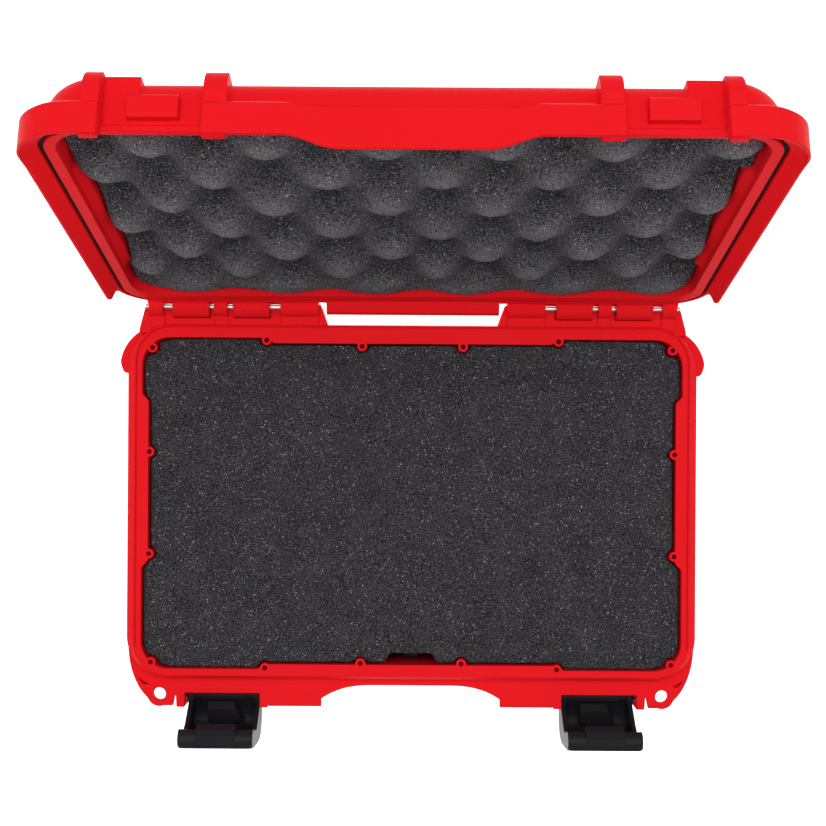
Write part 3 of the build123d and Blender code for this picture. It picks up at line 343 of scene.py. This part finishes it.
@dataclass(frozen=True)
class DrawnSteel:
    """Bright pin steel with fine lines along X, the way it was drawn."""

    name: str
    colour: Colour
    dulled: Colour
    line: float = 0.12 * MM
    line_deep: float = 0.006 * MM
    line_rough: float = 0.18
    stretch: float = 0.03
    dull: float = 6 * MM
    dull_tint: float = 0.4
    roughness: float = 0.22

    def make(self) -> bpy.types.Material:
        """The material.

        Returns:
            Steel whose lines run along X and whose brightness is dulled in patches.
        """
        tree = ShadeTree(self.name)
        stretched = tree.add("ShaderNodeMapping", {}, {"Vector": tree.place, "Scale": (self.stretch, 1, 1)})
        lines = tree.add("ShaderNodeTexNoise", {}, {"Vector": stretched, "Scale": 1 / self.line, "Detail": 2.0})
        dull = tree.noise(self.dull, 3.0)
        tree.feed(tree.shader, {"Base Color": tree.blend(dull * self.dull_tint, self.colour, self.dulled),
                                "Metallic": 1.0, "Roughness": self.roughness + lines * self.line_rough,
                                "Normal": tree.bump(lines, self.line_deep)})
        return tree.material


@dataclass(frozen=True)
class OpenCellFoam:
    """Charcoal polyurethane foam: dark pores, lighter struts and scattered glinting specks."""

    name: str
    pore: Colour
    strut: Colour
    glint: Colour
    # colour painted on the crests of the relief: a painted highlight
    lit_crest: Colour
    grain: float = 0.85 * MM
    grain_deep: float = 0.45 * MM
    strut_band: tuple[float, float] = (0.36, 0.66)
    cloud: float = 13 * MM
    cloud_share: float = 0.12
    speck: float = 1.2 * MM
    speck_reach: float = 0.30
    speck_rough: float = 0.2
    patch: float = 2.2 * MM
    patch_band: tuple[float, float] = (0.42, 0.80)
    roughness: float = 0.88
    gloss: float = 0.15
    # painted light and shade over the relief, and how far it shifts the pores and struts
    relief: bool = False
    painted_shade_share: float = 0.16

    def make(self) -> bpy.types.Material:
        """The material.

        Returns:
            Foam whose pores and struts come from two noises and whose specks sit at cell centres. With the
            painted relief shade, the crests of the cut face are painted lighter, as a painted highlight, and
            its hollows darker, as painted shade.
        """
        tree = ShadeTree(self.name)
        coarse = tree.noise(self.grain, 2.0, 0.7)
        clouds = tree.noise(self.cloud, 2.0)
        centre = tree.cells(self.speck)
        shown = tree.noise(self.patch, 1.0).ramp(*self.patch_band)
        specks = (1 - centre.ramp(self.speck_reach / 2, self.speck_reach)) * shown
        strut: Any = self.strut
        share = coarse + (clouds - 0.5) * self.cloud_share
        if self.relief:
            # painted shade and highlight: the crest attribute lightens the struts on crests and darkens the
            # hollows
            high = tree.add("ShaderNodeAttribute", {"attribute_name": PAINTED_SHADE_ATTRIBUTE}, {}, "Fac")
            strut = tree.blend(high ** 3, self.strut, self.lit_crest)
            share = share + (high - 0.5) * self.painted_shade_share
        mottled = tree.blend(share.ramp(*self.strut_band), self.pore, strut)
        colour = tree.blend(specks, mottled, self.glint)
        tree.feed(tree.shader, {"Base Color": colour, "Roughness": self.roughness - specks * self.speck_rough,
                                "Normal": tree.bump(coarse, self.grain_deep)})
        tree.feed(tree.shader, {"Specular IOR Level": self.gloss})
        return tree.material


class Finish(Enum):
    """The finishes of the case, each made once."""

    RED_SHELL = MouldedShell("moulded_red", linear(228, 26, 33), linear(233, 33, 41))
    BLACK_NYLON = MouldedShell("moulded_black", linear(33, 32, 35), linear(42, 41, 45), roughness=0.34,
                               grain=0.7 * MM, grain_deep=0.016 * MM, edge_radius=0.5 * MM, gloss=0.07)
    GASKET_RUBBER = Rubber("seal_rubber", linear(16, 14, 17), linear(34, 32, 35))
    PIN_STEEL = DrawnSteel("drawn_pin_steel", linear(214, 212, 208), linear(150, 148, 145))
    # the last colour of each foam finish is a painted highlight for crests; only the egg-crate foam uses it,
    # with painted shade in its hollows
    FOAM = OpenCellFoam("open_cell_charcoal", linear(22, 21, 24), linear(72, 70, 75), linear(185, 183, 189),
                        linear(96, 94, 99))
    CRATE_FOAM = OpenCellFoam("open_cell_egg_crate", linear(26, 25, 28), linear(92, 90, 95),
                              linear(205, 203, 209), linear(112, 110, 115), relief=True)

    def material(self) -> bpy.types.Material:
        """The finish's material, made when it is first asked for."""
        found = bpy.data.materials.get(self.value.name)
        return found if found is not None else self.value.make()


def dress(obj: bpy.types.Object, finish: Finish) -> None:
    """Gives every slot of a piece one finish.

    Args:
        obj: The piece.
        finish: The finish.
    """
    material = finish.material()
    if not obj.material_slots:
        obj.data.materials.append(material)
    for slot in obj.material_slots:
        slot.material = material
    obj.data.polygons.foreach_set("material_index", np.zeros(len(obj.data.polygons), np.int32))


# ------------------------------------------------------------------------------------------------ mesh tools
def mesh_object(name: str, points: np.ndarray, faces: np.ndarray, smooth: bool = True) -> bpy.types.Object:
    """A mesh object at the origin.

    Args:
        name: Name of the piece.
        points: Corners, one row of three numbers each.
        faces: Rows of three or four corner numbers.
        smooth: Whether the faces are shaded smooth.

    Returns:
        The object, linked to the scene.
    """
    mesh = bpy.data.meshes.new(name)
    mesh.from_pydata(points.reshape(-1, 3).tolist(), [], faces.tolist())
    mesh.validate()
    if smooth:
        mesh.shade_smooth()
    else:
        mesh.shade_flat()
    obj = bpy.data.objects.new(name, mesh)
    bpy.context.scene.collection.objects.link(obj)
    return obj


def grid_faces(rows: int, columns: int, closed: bool) -> np.ndarray:
    """Quads of a grid of points, row by row.

    Args:
        rows: Points along the first way.
        columns: Points along the second way.
        closed: Whether the last column joins the first.

    Returns:
        Rows of four corner numbers.
    """
    across = columns if closed else columns - 1
    row, column = np.meshgrid(np.arange(rows - 1), np.arange(across), indexing="ij")
    after = (column + 1) % columns
    near, far = row * columns, (row + 1) * columns
    return np.stack([near + column, near + after, far + after, far + column], -1).reshape(-1, 4)


def ripple(points: np.ndarray, size: float, seed: int) -> np.ndarray:
    """Smooth seeded noise: a sum of sine waves whose directions, lengths and phases are drawn from the seed.

    The sum is divided by the square root of their number.

    Args:
        points: Places, one row of three numbers each.
        size: Length of a wave.
        seed: Seed of the draw.

    Returns:
        One number for each place, mostly from -1 to 1.
    """
    draw = np.random.default_rng(seed)
    ways = draw.normal(size=(RIPPLE_WAVES, 3))
    ways /= np.linalg.norm(ways, axis=1, keepdims=True)
    turns = 2 * np.pi / (size * draw.uniform(*RIPPLE_SPREAD, RIPPLE_WAVES))
    phases = draw.uniform(0, 2 * np.pi, RIPPLE_WAVES)
    return np.sin(points @ ways.T * turns + phases).sum(1) / math.sqrt(RIPPLE_WAVES)


def ripple_grid(first: np.ndarray, second: np.ndarray, third: np.ndarray, size: float, seed: int) -> np.ndarray:
    """The ripple at each point of a grid.

    Args:
        first: First measure of the place, as a grid.
        second: Second measure.
        third: Third measure.
        size: Length of a wave.
        seed: Seed of the draw.

    Returns:
        A grid of the same shape.
    """
    return ripple(np.stack([first, second, third], -1).reshape(-1, 3), size, seed).reshape(first.shape)


def corner_rows(mesh: bpy.types.Mesh, what: str) -> np.ndarray:
    """One measure of a mesh's corners.

    Args:
        mesh: The mesh.
        what: Blender's name of the measure: co for places, normal for normals.

    Returns:
        One row of three numbers for each corner.
    """
    flat = np.zeros(len(mesh.vertices) * 3, np.float32)
    mesh.vertices.foreach_get(what, flat)
    return flat.reshape(-1, 3).astype(float)


def put_points(mesh: bpy.types.Mesh, points: np.ndarray) -> None:
    """Moves the corners of a mesh."""
    mesh.vertices.foreach_set("co", points.astype(np.float32).ravel())
    mesh.update()


def close_mesh(mesh: bpy.types.Mesh, join: float | None = None) -> None:
    """Merges corners that lie together, if a distance is given, and points all faces of a closed mesh outwards.

    Args:
        mesh: The mesh, changed in place.
        join: Distance below which corners are merged.
    """
    work = bmesh.new()
    work.from_mesh(mesh)
    if join is not None:
        bmesh.ops.remove_doubles(work, verts=work.verts, dist=join)
    bmesh.ops.recalc_face_normals(work, faces=work.faces)
    work.to_mesh(mesh)
    work.free()


# ------------------------------------------------------------------------------------------------ the case
def joint_named(frame: dict[str, Any], name: str) -> dict[str, Any]:
    """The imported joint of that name."""
    return next(joint for joint in frame["joints"] if joint["name"] == name)


@dataclass
class LidSpace:
    """Places of the lid as it stands open: across, up from the hinge, and in from the sealing plane."""

    hinge: tuple[float, float, float]
    open_angle: float

    @classmethod
    def from_frame(cls, frame: dict[str, Any]) -> "LidSpace":
        """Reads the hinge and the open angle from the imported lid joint.


        Returns:
            The lid's space.
        """
        joint = joint_named(frame, "lid_hinge")
        return cls(tuple(joint["pos_m"]), math.radians(joint["range_deg"][1]))

    def place(self, across: np.ndarray, up: np.ndarray, inward: np.ndarray) -> np.ndarray:
        """Turns lid places into places in the frame: a turn about the hinge by the open angle.

        Args:
            across: X.
            up: Distance from the hinge towards the lid's lip.
            inward: Height above the sealing plane, towards the lid's roof.

        Returns:
            Places, with three numbers along the last axis.
        """
        cosine, sine = math.cos(self.open_angle), math.sin(self.open_angle)
        back = self.hinge[1] - up * cosine + inward * sine
        high = self.hinge[2] + up * sine + inward * cosine
        return np.stack([across + self.hinge[0], back, high], -1)


@dataclass
class EggCratePad:
    """The lid's foam pad, whose face is cut in rows of staggered swells."""

    half: float = 145.2 * MM
    step: float = 3.5 * MM
    step_from: float = 51.0 * MM
    step_to: float = 156.9 * MM
    step_ramp: float = 2.0 * MM
    rear: float = 17.4 * MM
    front: float = 194.8 * MM
    corner: float = 14.0 * MM
    face: float = 6.2 * MM
    back: float = 20.6 * MM
    haunch: float = 9.0 * MM
    swell: float = 6.6 * MM
    pitch: float = 48.4 * MM
    row: float = 27.0 * MM
    cusp: float = 0.12
    wander: float = 1.0 * MM
    wander_size: float = 120 * MM
    wander_seed: int = 11
    first_peak: float = -12.6 * MM
    first_row: float = 21.7 * MM
    crown: float = 4.0 * MM
    crown_level: float = 0.35
    crown_spread: tuple[float, float] = (2.3, 2.6)
    edge: float = 1.4 * MM
    spacing: float = 1.5 * MM
    crowding: float = 0.25
    trim: float = 0.02 * MM
    rough: float = 0.12 * MM
    rough_size: float = 7 * MM
    rough_seed: int = 5
    rear_run: float = 27.0 * MM
    rear_shift: float = -7.0 * MM
    rear_level: float = 0.62
    rear_wave: float = 0.2
    lowest: float = -1.0 * MM
    lowest_blend: float = 0.35 * MM

    def outline(self, up: np.ndarray) -> np.ndarray:
        """Half width at each distance from the hinge: round corners by the circle's equation, stepped sides.

        Args:
            up: Distances from the hinge.

        Returns:
            Half widths.
        """
        from_end = np.minimum(up - self.rear, self.front - up)
        short = np.clip(self.corner - from_end, 0, self.corner)
        round_in = self.corner - np.sqrt(self.corner ** 2 - short ** 2)
        begun = np.clip((up - self.step_from) / self.step_ramp, 0, 1)
        left = np.clip((self.step_to - up) / self.step_ramp, 0, 1)
        return self.half - round_in - begun * left * self.step

    def swells(self, across: np.ndarray, up: np.ndarray) -> np.ndarray:
        """How far the cut face swells: the product of two cosines, sharpened at its hollows.

        Towards the rear edge it goes over, by a smooth step, into one low wave that stands out all along.

        Args:
            across: X.
            up: Distance from the hinge.

        Returns:
            About -1 in a hollow to 1 on a crest.
        """
        wander = self.wander * ripple_grid(across, up, 0 * up, self.wander_size, self.wander_seed)
        aside = across - self.first_peak + wander
        turn = np.cos(2 * np.pi * aside / self.pitch)
        climb = np.cos(np.pi * (up - self.first_row + wander) / self.row)
        swell = turn * climb + self.cusp * (turn + 1) * (climb ** 2 - 0.5)
        share = np.clip((up - self.rear) / self.rear_run, 0, 1)
        share = share ** 2 * (3 - 2 * share)
        low_wave = self.rear_level + self.rear_wave * np.cos(2 * np.pi * (aside - self.rear_shift) / self.pitch)
        return swell * share + low_wave * (1 - share)

    def height(self, across: np.ndarray, up: np.ndarray) -> np.ndarray:
        """Height of the cut face: a level, less the swells, less a low crown over the whole pad.

        A soft maximum, b ln(1 + exp(h / b)), keeps the highest crests off the base's foam when the lid is shut.

        Args:
            across: X.
            up: Distance from the hinge.

        Returns:
            Height above the sealing plane; a swell has the lower height, because it stands out of the lid.
        """
        middle = (self.rear + self.front) / 2
        wide, long = self.crown_spread
        bow = np.cos(np.pi * across / (wide * self.half))
        bow = bow * np.cos(np.pi * (up - middle) / (long * (middle - self.rear)))
        level = self.face - self.swell * self.swells(across, up) - self.crown * (bow - self.crown_level)
        return self.lowest + self.lowest_blend * np.logaddexp(0, (level - self.lowest) / self.lowest_blend)

    def build(self, space: LidSpace) -> bpy.types.Object:
        """Makes the pad: its cut face and its flat back over one grid, joined by the sides.

        Args:
            space: The lid's space.

        Returns:
            The pad, riding on the lid in the place of its plain solid.
        """
        rows = int((self.front - self.rear) / self.spacing)
        columns = int(2 * self.half / self.spacing)
        along = (1 - np.cos(np.linspace(0, np.pi, rows))) / 2
        along = self.crowding * along + (1 - self.crowding) * np.linspace(0, 1, rows)
        up = self.rear + self.trim + (self.front - self.rear - 2 * self.trim) * along[:, None]
        side = np.linspace(-1, 1, columns)[None, :]
        across = self.outline(up) * side
        up = up + 0 * across
        from_side, from_end = self.outline(up) - np.abs(across), np.minimum(up - self.rear, self.front - up)
        inset = np.minimum(from_side, from_end)
        short = np.clip(self.edge - inset, 0, self.edge)
        rounded = self.edge - np.sqrt(self.edge ** 2 - short ** 2)
        face = self.height(across, up) + rounded
        face = face + self.rough * ripple_grid(across, up, face, self.rough_size, self.rough_seed)
        top = space.place(across, up, face)
        middle = (self.rear + self.front) / 2
        shrink = 1 - self.haunch / (self.front - middle)
        bottom = space.place(across - self.haunch * side, middle + (up - middle) * shrink,
                             np.full_like(up, self.back))
        obj = pad_between("lid_foam_pad", top, bottom)
        # painted shade: crest height, stored per point, makes the foam lighter on crests and darker in hollows
        high = np.clip(0.5 + 0.5 * self.swells(across, up), 0, 1).ravel()
        relief = obj.data.attributes.new(PAINTED_SHADE_ATTRIBUTE, "FLOAT", "POINT")
        relief.data.foreach_set("value", np.concatenate([high, 0 * high]).astype(np.float32))
        dress(obj, Finish.CRATE_FOAM)
        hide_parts("lid_foam")
        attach(obj, "lid")
        return obj


def pad_between(name: str, top: np.ndarray, bottom: np.ndarray) -> bpy.types.Object:
    """A closed pad between two grids of the same shape: both grids and a strip round their edges.

    Args:
        name: Name of the piece.
        top: Face grid, rows by columns by three.
        bottom: Back grid of the same shape.

    Returns:
        The pad, with its faces outwards.
    """
    rows, columns = top.shape[:2]
    number = np.arange(rows * columns).reshape(rows, columns)
    rim = np.concatenate([number[0, :-1], number[:-1, -1], number[-1, :0:-1], number[:0:-1, 0]])
    after = np.roll(rim, -1)
    count = rows * columns
    face = grid_faces(rows, columns, False)
    strip = np.stack([rim, after, after + count, rim + count], -1)
    faces = np.concatenate([face, face[:, ::-1] + count, strip[:, ::-1]])
    obj = mesh_object(name, np.concatenate([top.reshape(-1, 3), bottom.reshape(-1, 3)]), faces)
    close_mesh(obj.data)
    return obj


@dataclass
class TubFoam:
    """The base's foam block and floor pad, remeshed finely so that their edges and faces can wander."""

    voxel: float = 1.6 * MM
    join: float = 0.002 * MM
    wander: float = 0.22 * MM
    broad: float = 14 * MM
    broad_seed: int = 3
    fine: float = 4.5 * MM
    fine_seed: int = 4
    fine_share: float = 0.4
    pieces: dict[str, str] = field(default_factory=lambda: {"base_foam": "tub_foam_block",
                                                            "base_foam_pad": "tub_foam_floor"})

    def build(self, nodes: dict[str, bpy.types.Object]) -> list[bpy.types.Object]:
        """Makes both pieces.

        Args:
            nodes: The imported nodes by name.

        Returns:
            The pieces, riding on the base.
        """
        return [self.block(nodes[node], node, name) for node, name in self.pieces.items()]

    def block(self, source: bpy.types.Object, node: str, name: str) -> bpy.types.Object:
        """One foam block: a fine remesh of the solid, smoothed, with seeded ripples along its normals.

        Args:
            source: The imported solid.
            node: Its name.
            name: Name of the new piece.

        Returns:
            The block.
        """
        obj = remeshed(source, name, self.voxel, self.join)
        points = corner_rows(obj.data, "co")
        normals = corner_rows(obj.data, "normal")
        rough = ripple(points, self.broad, self.broad_seed) * (1 - self.fine_share)
        rough = rough + ripple(points, self.fine, self.fine_seed) * self.fine_share
        put_points(obj.data, points + normals * (rough * self.wander)[:, None])
        dress(obj, Finish.FOAM)
        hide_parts(node)
        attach(obj, "base")
        return obj


def remeshed(source: bpy.types.Object, name: str, voxel: float, join: float) -> bpy.types.Object:
    """A finely remeshed copy of a solid.

    Args:
        source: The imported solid, which isn't changed.
        name: Name of the copy.
        voxel: Size of a voxel.
        join: Distance below which the solid's corners are merged first.

    Returns:
        The copy, as one closed mesh of small quads.
    """
    work = bmesh.new()
    work.from_mesh(source.data)
    bmesh.ops.remove_doubles(work, verts=work.verts, dist=join)
    mesh = bpy.data.meshes.new(name)
    work.to_mesh(mesh)
    work.free()
    obj = bpy.data.objects.new(name, mesh)
    bpy.context.scene.collection.objects.link(obj)
    remesh = obj.modifiers.new("remesh", "REMESH")
    remesh.mode = "VOXEL"
    remesh.voxel_size = voxel
    smooth = obj.modifiers.new("smooth", "SMOOTH")
    smooth.factor = 0.5
    smooth.iterations = 2
    graph = bpy.context.evaluated_depsgraph_get()
    result = bpy.data.meshes.new_from_object(obj.evaluated_get(graph))
    obj.modifiers.clear()
    obj.data = result
    result.name = name
    result.shade_smooth()
    return obj


@dataclass
class SlideWing:
    """A thin wing on each lock slide, which closes the free end of the lever's slot from inside."""

    near: float = 4.9 * MM
    far: float = 10.8 * MM
    thick: float = 0.8 * MM
    places: tuple[tuple[float, float], ...] = ((15.2, 1.5), (17.2, 4.0), (17.8, 6.4), (17.5, 9.2), (16.9, 11.0))
    steps: int = 9
    join: float = 0.001 * MM

    def build(self, frame: dict[str, Any]) -> list[bpy.types.Object]:
        """Makes both wings.


        Returns:
            The wings, riding on their lock slides.
        """
        return [self.wing(frame, name) for name in ("left", "right")]

    def wing(self, frame: dict[str, Any], name: str) -> bpy.types.Object:
        """One wing: a curved band through the named places, with a thickness towards the pivot, along X.

        The places are turned about the latch's pivot by its rest angle, the reach of its joint below 0.

        Args:
            name: left or right.

        Returns:
            The wing.
        """
        joint = joint_named(frame, f"latch_{name}_swing")
        tilt = -math.radians(joint["range_deg"][0])
        out, up = np.array(self.places).T * MM
        along = np.linspace(0, 1, self.steps)
        knots = np.linspace(0, 1, len(self.places))
        out, up = np.interp(along, knots, out), np.interp(along, knots, up)
        loop_out = np.concatenate([out, (out - self.thick)[::-1]])
        loop_up = np.concatenate([up, up[::-1]])
        across = np.array([self.near, self.near, self.far, self.far])[:, None]
        shrink = np.array([0.0, 1.0, 1.0, 0.0])[:, None]
        x = joint["pos_m"][0] + across + 0 * loop_out
        forward = loop_out.mean() + (loop_out - loop_out.mean()) * shrink
        high = loop_up.mean() + (loop_up - loop_up.mean()) * shrink
        y = joint["pos_m"][1] - forward * math.cos(tilt) - high * math.sin(tilt)
        z = joint["pos_m"][2] - forward * math.sin(tilt) + high * math.cos(tilt)
        points = np.stack([x, y, z], -1)
        obj = mesh_object(f"slide_wing_{name}", points, grid_faces(4, loop_out.size, True), smooth=False)
        close_mesh(obj.data, self.join)
        dress(obj, Finish.BLACK_NYLON)
        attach(obj, f"slide_{name}")
        return obj


@dataclass
class Hardware:
    """The rigid solids of the case, each with its finish."""

    finishes: dict[str, Finish] = field(default_factory=lambda: {
        "base_shell": Finish.RED_SHELL, "lid_shell": Finish.RED_SHELL,
        "lid_gasket": Finish.GASKET_RUBBER, "handle_grip": Finish.GASKET_RUBBER,
        "valve_seal": Finish.GASKET_RUBBER, "valve_membrane": Finish.GASKET_RUBBER,
        "valve_body": Finish.BLACK_NYLON, "valve_nut": Finish.BLACK_NYLON, "handle_frame": Finish.BLACK_NYLON})
    sided: dict[str, Finish] = field(default_factory=lambda: {
        "hinge_pin": Finish.PIN_STEEL, "latch_pin": Finish.BLACK_NYLON, "handle_pin": Finish.PIN_STEEL,
        "latch_lever": Finish.BLACK_NYLON, "lock_slide": Finish.BLACK_NYLON})

    def dress(self, nodes: dict[str, bpy.types.Object]) -> int:
        """Finishes each solid.

        Args:
            nodes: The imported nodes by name.

        Returns:
            How many solids were finished.
        """
        every = dict(self.finishes)
        for side in ("left", "right"):
            every.update({f"{name}_{side}": finish for name, finish in self.sided.items()})
        for name, finish in every.items():
            dress(nodes[name], finish)
        return len(every)


# ------------------------------------------------------------------------------------------------ studio
@dataclass(frozen=True)
class Lamp:
    """One square soft light: where it hangs, what it points at, the length of its side and its watts."""

    name: str
    at: tuple[float, float, float]
    aim: tuple[float, float, float]
    size: float
    power: float

    def hang(self) -> None:
        """Hangs the light and turns it to its aim."""
        data = bpy.data.lights.new(self.name, "AREA")
        data.size = self.size
        data.energy = self.power
        obj = bpy.data.objects.new(self.name, data)
        bpy.context.scene.collection.objects.link(obj)
        obj.location = self.at
        way = np.array(self.aim) - np.array(self.at)
        flat = math.hypot(way[0], way[1])
        heading = math.atan2(-way[0], way[1]) if flat > 0 else 0.0
        obj.rotation_euler = (math.atan2(flat, -way[2]), 0, heading)


@dataclass
class Studio:
    """A pale floor, soft lights and the camera straight above the open case."""

    camera_at: tuple[float, float, float] = (0.4 * MM, 50.2 * MM, 804 * MM)
    lens: float = 59.06
    sensor: float = 36.0
    roll: float = math.radians(0.36)
    nearest: float = 10 * MM
    floor_half: float = 3.0
    floor_low: float = 0.3 * MM
    floor_white: float = 0.9
    floor_glow: float = 0.9
    sky: float = 0.30
    lamps: tuple[Lamp, ...] = (Lamp("key", (0.0, -0.75, 1.75), (0.0, 0.05, 0.05), 1.2, 4.0),
                               Lamp("fill_left", (-1.3, 0.15, 1.1), (0.0, 0.05, 0.08), 1.0, 5.0),
                               Lamp("fill_right", (1.3, 0.15, 1.1), (0.0, 0.05, 0.08), 1.0, 5.0),
                               Lamp("top", (0.0, 0.35, 1.9), (0.0, 0.05, 0.0), 1.3, 18.0))

    def build(self) -> None:
        """Makes floor, world, lights and camera."""
        self.floor()
        self.world()
        for lamp in self.lamps:
            lamp.hang()
        self.camera()

    def floor(self) -> None:
        """A white floor that glows a little, as a light table does."""
        half, low = self.floor_half, -self.floor_low
        corners = np.array([[-half, -half, low], [half, -half, low], [half, half, low], [-half, half, low]])
        floor = mesh_object("studio_floor", corners, np.array([[0, 1, 2, 3]]), smooth=False)
        tree = ShadeTree("studio_white")
        tree.feed(tree.shader, {"Base Color": (*[self.floor_white] * 3, 1), "Roughness": 1.0,
                                "Specular IOR Level": 0.0, "Emission Color": (1, 1, 1, 1),
                                "Emission Strength": self.floor_glow})
        floor.data.materials.append(tree.material)

    def world(self) -> None:
        """Even light from all round."""
        world = bpy.data.worlds.new("studio")
        world.use_nodes = True
        background = world.node_tree.nodes["Background"]
        background.inputs["Color"].default_value = (1, 1, 1, 1)
        background.inputs["Strength"].default_value = self.sky
        bpy.context.scene.world = world
        bpy.context.scene.view_settings.view_transform = "Standard"

    def camera(self) -> None:
        """The camera, looking straight down with +Y up the image."""
        data = bpy.data.cameras.new("camera")
        data.lens = self.lens
        data.sensor_width = self.sensor
        data.clip_start = self.nearest
        camera = bpy.data.objects.new("camera", data)
        bpy.context.scene.collection.objects.link(camera)
        camera.location = self.camera_at
        camera.rotation_euler = (0, 0, self.roll)
        bpy.context.scene.camera = camera


def main() -> None:
    """Builds the case's looks in order and logs each piece."""
    logging.basicConfig(level=logging.INFO, format="%(name)s: %(message)s")
    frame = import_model()
    space = LidSpace.from_frame(frame)
    LOG.info("finished %d rigid solids", Hardware().dress(frame["nodes"]))
    for block in TubFoam().build(frame["nodes"]):
        LOG.info("made %s with %d faces", block.name, len(block.data.polygons))
    pad = EggCratePad().build(space)
    LOG.info("made %s with %d faces", pad.name, len(pad.data.polygons))
    for wing in SlideWing().build(frame):
        LOG.info("made %s with %d faces", wing.name, len(wing.data.polygons))
    Studio().build()
    bpy.context.view_layer.update()


if __name__ == "__main__":
    main()
